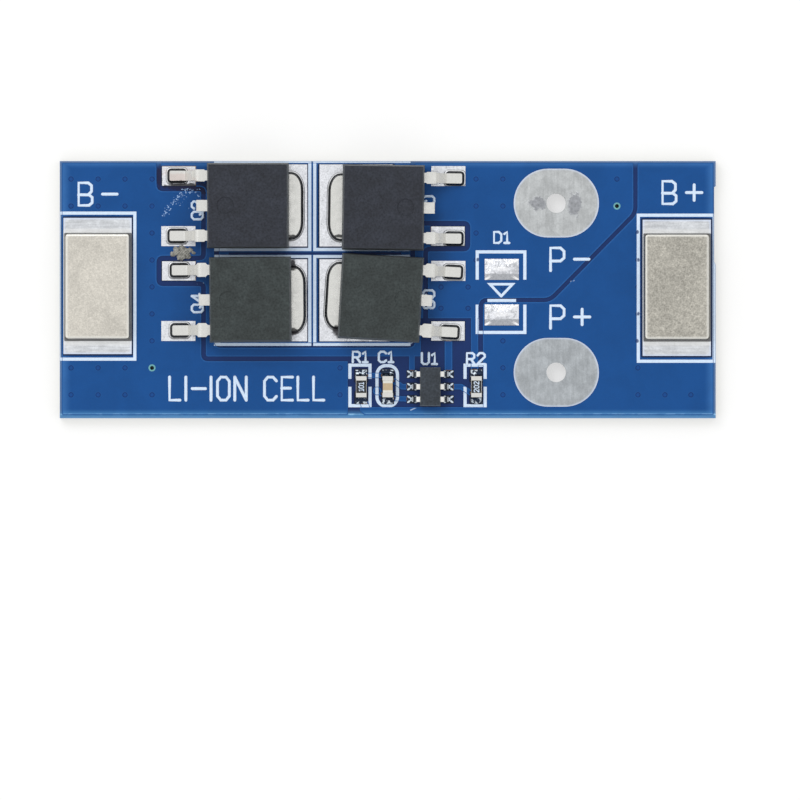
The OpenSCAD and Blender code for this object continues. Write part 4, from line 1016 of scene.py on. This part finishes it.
def moved(strokes, x, y, turn=0.0, flip=False):
    """Strokes turned about their origin, moved, and mirrored across X for the underside."""
    c, s, up = math.cos(math.radians(turn)), math.sin(math.radians(turn)), -1 if flip else 1
    return [[(x + c * px - s * py, y + (s * px + c * py) * up) for px, py in line] for line in strokes]


# How far each end of a stroke runs on, in half widths, and how much of its width is left there
TIP_TAPER = ((0.6, 0.8), (0.95, 0.35))


def ink_strokes(name, strokes, width, surface, rise):
    """Printed lines: a round bead of ink swept along each stroke and pressed flat on a surface; in millimetres."""
    curve = added(name, bpy.ops.curve.primitive_bezier_curve_add).data
    curve.splines.clear()
    curve.dimensions = "3D"
    curve.bevel_depth = width / 2 * MM
    curve.bevel_resolution = 2
    curve.use_fill_caps = True
    for stroke in strokes:
        closed = stroke[0] == stroke[-1]
        corners = [Vector((*p, 0.0)) for p in (stroke[:-1] if closed else stroke)]
        points = [(corner, 1.0) for corner in corners]
        if not closed:
            head, tail = ([(tip + (tip - inner).normalized() * (width * 0.5) * far, size) for far, size in TIP_TAPER]
                          for tip, inner in ((corners[0], corners[1]), (corners[-1], corners[-2])))
            points = head[::-1] + points + tail
        line = curve.splines.new("POLY")
        line.points.add(len(points) - 1)
        line.use_cyclic_u = closed
        for point, (place, size) in zip(line.points, points):
            point.co = (*(place * MM), 1.0)
            point.radius = size
    activate(active())
    bpy.ops.object.convert(target="MESH")
    bead = active()
    bead.scale = (1.0, 1.0, rise / (width / 2))
    bead.location = (0.0, 0.0, surface * MM)
    bpy.ops.object.transform_apply(location=True, rotation=True, scale=True)
    bpy.ops.object.mode_set(mode="EDIT")
    bpy.ops.mesh.select_all(action="SELECT")
    bpy.ops.mesh.remove_doubles(threshold=0.00001 * MM)
    bpy.ops.mesh.normals_make_consistent(inside=False)
    bpy.ops.object.mode_set(mode="OBJECT")
    bpy.ops.object.shade_smooth()
    bead.data.materials.clear()
    bead.data.materials.append(bpy.data.materials["White ink"])
    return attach(bead, "root")


# What is printed where: piece, words, x and y of the start in millimetres, gap, widening, share of the height, turn
LARGE_TOP = (
    ("b_minus", "B-", -23.56, 6.42, 0.38), ("b_plus", "B+", 20.95, 6.54, 0.38),
    ("p_minus", "P-", 12.41, 1.46, 0.42), ("p_plus", "P+", 12.41, -2.94, 0.42),
    ("cell_type", "LI-ION CELL", -16.63, -8.42, 0.2, 0.89, 1.02),
)
SMALL_TOP = (
    ("d1", "D1", 8.1, 3.56, 0.22, 1.18), ("r1", "R1", -2.66, -5.52, 0.22, 1.18, 0.95),
    ("c1", "C1", -0.68, -5.52, 0.22, 1.18, 0.95), ("u1", "U1", 2.6, -5.68, 0.22, 1.18),
    ("r2", "R2", 6.04, -5.68, 0.22, 1.18), ("q2", "Q2", -14.09, 5.36, 0.2, 1.18, 1.0, 90),
    ("q4", "Q4", -14.09, -1.72, 0.2, 1.18, 1.0, 90), ("q1", "Q1", 2.7, 7.12, 0.2, 1.18, 1.0, -90),
    ("q3", "Q3", 2.7, -0.05, 0.2, 1.18, 1.0, -90),
)
LARGE_UNDER = (
    ("b_minus", "B-", -23.56, 7.78, 0.38), ("b_plus", "B+", 20.95, 8.1, 0.38),
    ("p_minus", "P-", 12.41, 3.2, 0.42), ("p_plus", "P+", 12.41, -1.2, 0.42),
    ("cell_type", "LI-ION CELL BOARD", -13.3, 7.05, 0.26, 0.96, 0.97),
)


def print_words(prefix, table, height, stroke, surface, rise):
    """Prints a table of words; height, stroke and rise are settings, surface is in millimetres."""
    def one(name, words, x, y, gap, wide=1.0, share=1.0, turn=0):
        strokes, _ = spaced(words, height / MM * share, gap, wide)
        placed = moved(strokes, x, y, turn, surface == MASK_UNDER)
        ink_strokes(prefix + name, placed, stroke / MM, surface, rise / MM)
    for row in table:
        one(*row)


class BOARD_OT_print_top(BoardOperator, bpy.types.Operator):
    """Print the names of the lands and parts on the component side"""
    bl_idname = "board.print_top"
    bl_label = "Print on top"

    def execute(self, context):
        p = context.scene.board_print
        print_words("print_", LARGE_TOP, p.letter_height, p.stroke, MASK_TOP, p.ink_rise)
        print_words("print_", SMALL_TOP, p.label_height, p.fine_stroke, MASK_TOP, p.ink_rise)
        return {"FINISHED"}


class BOARD_OT_print_under(BoardOperator, bpy.types.Operator):
    """Print the names of the lands on the underside"""
    bl_idname = "board.print_under"
    bl_label = "Print underneath"

    def execute(self, context):
        p = context.scene.board_print
        print_words("print_under_", LARGE_UNDER, p.letter_height, p.stroke, MASK_UNDER, p.ink_rise)
        return {"FINISHED"}


class BOARD_OT_value_codes(BoardOperator, bpy.types.Operator):
    """Print the value codes on the two resistors"""
    bl_idname = "board.value_codes"
    bl_label = "Resistor codes"

    def execute(self, context):
        for node, words in (("r1_overcoat", "101"), ("r2_overcoat", "202")):
            middle, top = centre(node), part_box(node)[1].z / MM
            strokes, width = spaced(words, 0.36, 0.22)
            placed = moved(strokes, middle.x + 0.18, middle.y - width / 2, 90.0)
            ink_strokes("code_" + node[:2], placed, 0.07, top, 0.008)
        return {"FINISHED"}


# ---- stage

FLOOR_SIZE, FLOOR_Z = 3.0, -0.00002  # in metres
FLOOR_GREY, FLOOR_GLOW = 0.48, 0.49
SHINE = 1.25  # strength of the sky that shiny surfaces see
SENSOR = 36.0  # width of the camera's sensor in millimetres
VIEW_MIDDLE = (0.934, -8.411)  # the place in the middle of the view, in millimetres
KEY_PLACE, KEY_SIZE = (-0.16, 0.22, 0.34), 0.22  # in metres
WHITE = (1.0, 1.0, 1.0)

# What shiny surfaces see of the sky: height from 0 at the horizon to 1 overhead, and brightness
SKY_RING = ((0.0, 0.5), (0.3, 0.55), (0.55, 0.75), (0.8, 1.1), (0.93, 1.03), (1.0, 0.94))


class BOARD_OT_stage(BoardOperator, bpy.types.Operator):
    """Set the floor, the soft lights and the camera that looks straight down"""
    bl_idname = "board.stage"
    bl_label = "Stage"

    def floor(self):
        """A pale floor that looks white to the camera and still takes the board's shadow."""
        floor = added("floor", bpy.ops.mesh.primitive_plane_add, size=FLOOR_SIZE, location=(0.0, 0.0, FLOOR_Z))
        g = Finish("Pale floor", roughness=0.9, specular=0.1)
        g.feed(g.inputs["Base Color"], (FLOOR_GREY, FLOOR_GREY, FLOOR_GREY))
        plain = g.tree.nodes["Principled BSDF"].outputs[0]
        paths = g.node("LightPath").outputs
        seen = g.largest(paths[kind] for kind in ("Is Camera Ray", "Is Glossy Ray", "Is Transmission Ray"))
        glow = g.node("Emission", {"Color": WHITE, "Strength": FLOOR_GLOW}).outputs[0]
        both = g.node("AddShader", {0: plain, 1: glow}).outputs[0]
        choose = g.node("MixShader", {0: seen, 1: plain, 2: both}).outputs[0]
        g.feed(g.tree.nodes["Material Output"].inputs["Surface"], choose)
        floor.data.materials.append(g.material)

    def sky(self, strength):
        """Even light all round, with a sky for shiny surfaces that is brightest round the zenith."""
        world = bpy.data.worlds.new("Studio")
        bpy.context.scene.world = world
        world.use_nodes = True
        world.node_tree.nodes.clear()
        g = Graph(world.node_tree)
        ring = g.node("ValToRGB", {"Fac": g.split(g.node("TexCoord").outputs["Generated"])[2]})
        ring.color_ramp.interpolation = "EASE"
        while len(ring.color_ramp.elements) < len(SKY_RING):
            ring.color_ramp.elements.new(0.5)
        for element, (at, level) in zip(ring.color_ramp.elements, SKY_RING):
            element.position = at
            element.color = (level / SHINE, level / SHINE, level / SHINE, 1.0)
        paths = g.node("LightPath").outputs
        even, shiny, seen = (g.node("Background", {"Color": colour, "Strength": level}).outputs[0]
                             for colour, level in ((WHITE, strength), (ring.outputs["Color"], SHINE), (WHITE, 1.0)))
        first = g.node("MixShader", {0: paths["Is Glossy Ray"], 1: even, 2: shiny}).outputs[0]
        clear = g.largest((paths["Is Camera Ray"], paths["Is Transmission Ray"]))
        last = g.node("MixShader", {0: clear, 1: first, 2: seen}).outputs[0]
        g.node("OutputWorld", {"Surface": last})

    def lamp(self, name, place, size, power):
        """A square soft light that faces the board."""
        lamp = added(name, bpy.ops.object.light_add, type="AREA", location=place)
        lamp.data.shape = "SQUARE"
        lamp.data.size = size
        lamp.data.energy = power
        lamp.rotation_euler = (-Vector(place)).to_track_quat("-Z", "Y").to_euler()

    def execute(self, context):
        s = context.scene.board_stage
        self.floor()
        self.sky(s.fill)
        self.lamp("key_light", KEY_PLACE, KEY_SIZE, s.key)
        distance = s.field * s.lens / SENSOR
        camera = added("camera", bpy.ops.object.camera_add, location=(
            VIEW_MIDDLE[0] * MM, VIEW_MIDDLE[1] * MM, LAND_TOP * MM + distance))
        camera.data.sensor_width = SENSOR
        camera.data.lens = s.lens
        camera.data.clip_start = 0.001
        camera.data.clip_end = 10.0
        context.scene.camera = camera
        context.scene.view_settings.view_transform = "Standard"
        return {"FINISHED"}


class BOARD_PT_panel(bpy.types.Panel):
    bl_label = "Protection board"
    bl_idname = "BOARD_PT_panel"
    bl_space_type = "VIEW_3D"
    bl_region_type = "UI"
    bl_category = "Board"

    def draw(self, context):
        for operator in OPERATORS:
            self.layout.operator(operator.bl_idname)


OPERATORS = (
    BOARD_OT_dress_layers, BOARD_OT_dress_metal, BOARD_OT_dress_parts,
    BOARD_OT_tents, BOARD_OT_mask_shoulders, BOARD_OT_flux,
    BOARD_OT_print_top, BOARD_OT_print_under, BOARD_OT_value_codes, BOARD_OT_stage,
)
SETTINGS = ((BoardFinishes, "board_finishes"), (BoardPrint, "board_print"), (BoardStage, "board_stage"))
GROUP_BUILDERS = (grain_group, mottle_group, patch_group, streak_group, border_group, keyline_group, hip_group,
                  scratch_group)


def register():
    for group, name in SETTINGS:
        bpy.utils.register_class(group)
        setattr(bpy.types.Scene, name, bpy.props.PointerProperty(type=group))
    for operator in OPERATORS:
        bpy.utils.register_class(operator)
    bpy.utils.register_class(BOARD_PT_panel)


def unregister():
    bpy.utils.unregister_class(BOARD_PT_panel)
    for operator in reversed(OPERATORS):
        bpy.utils.unregister_class(operator)
    for group, name in reversed(SETTINGS):
        delattr(bpy.types.Scene, name)
        bpy.utils.unregister_class(group)


def main():
    register()
    for build in GROUP_BUILDERS:
        build()
    for operator in OPERATORS:
        area, name = operator.bl_idname.split(".")
        result = getattr(getattr(bpy.ops, area), name)()
        if result != {"FINISHED"}:
            raise RuntimeError(operator.bl_label + " did not finish")


if __name__ == "__main__":
    main()
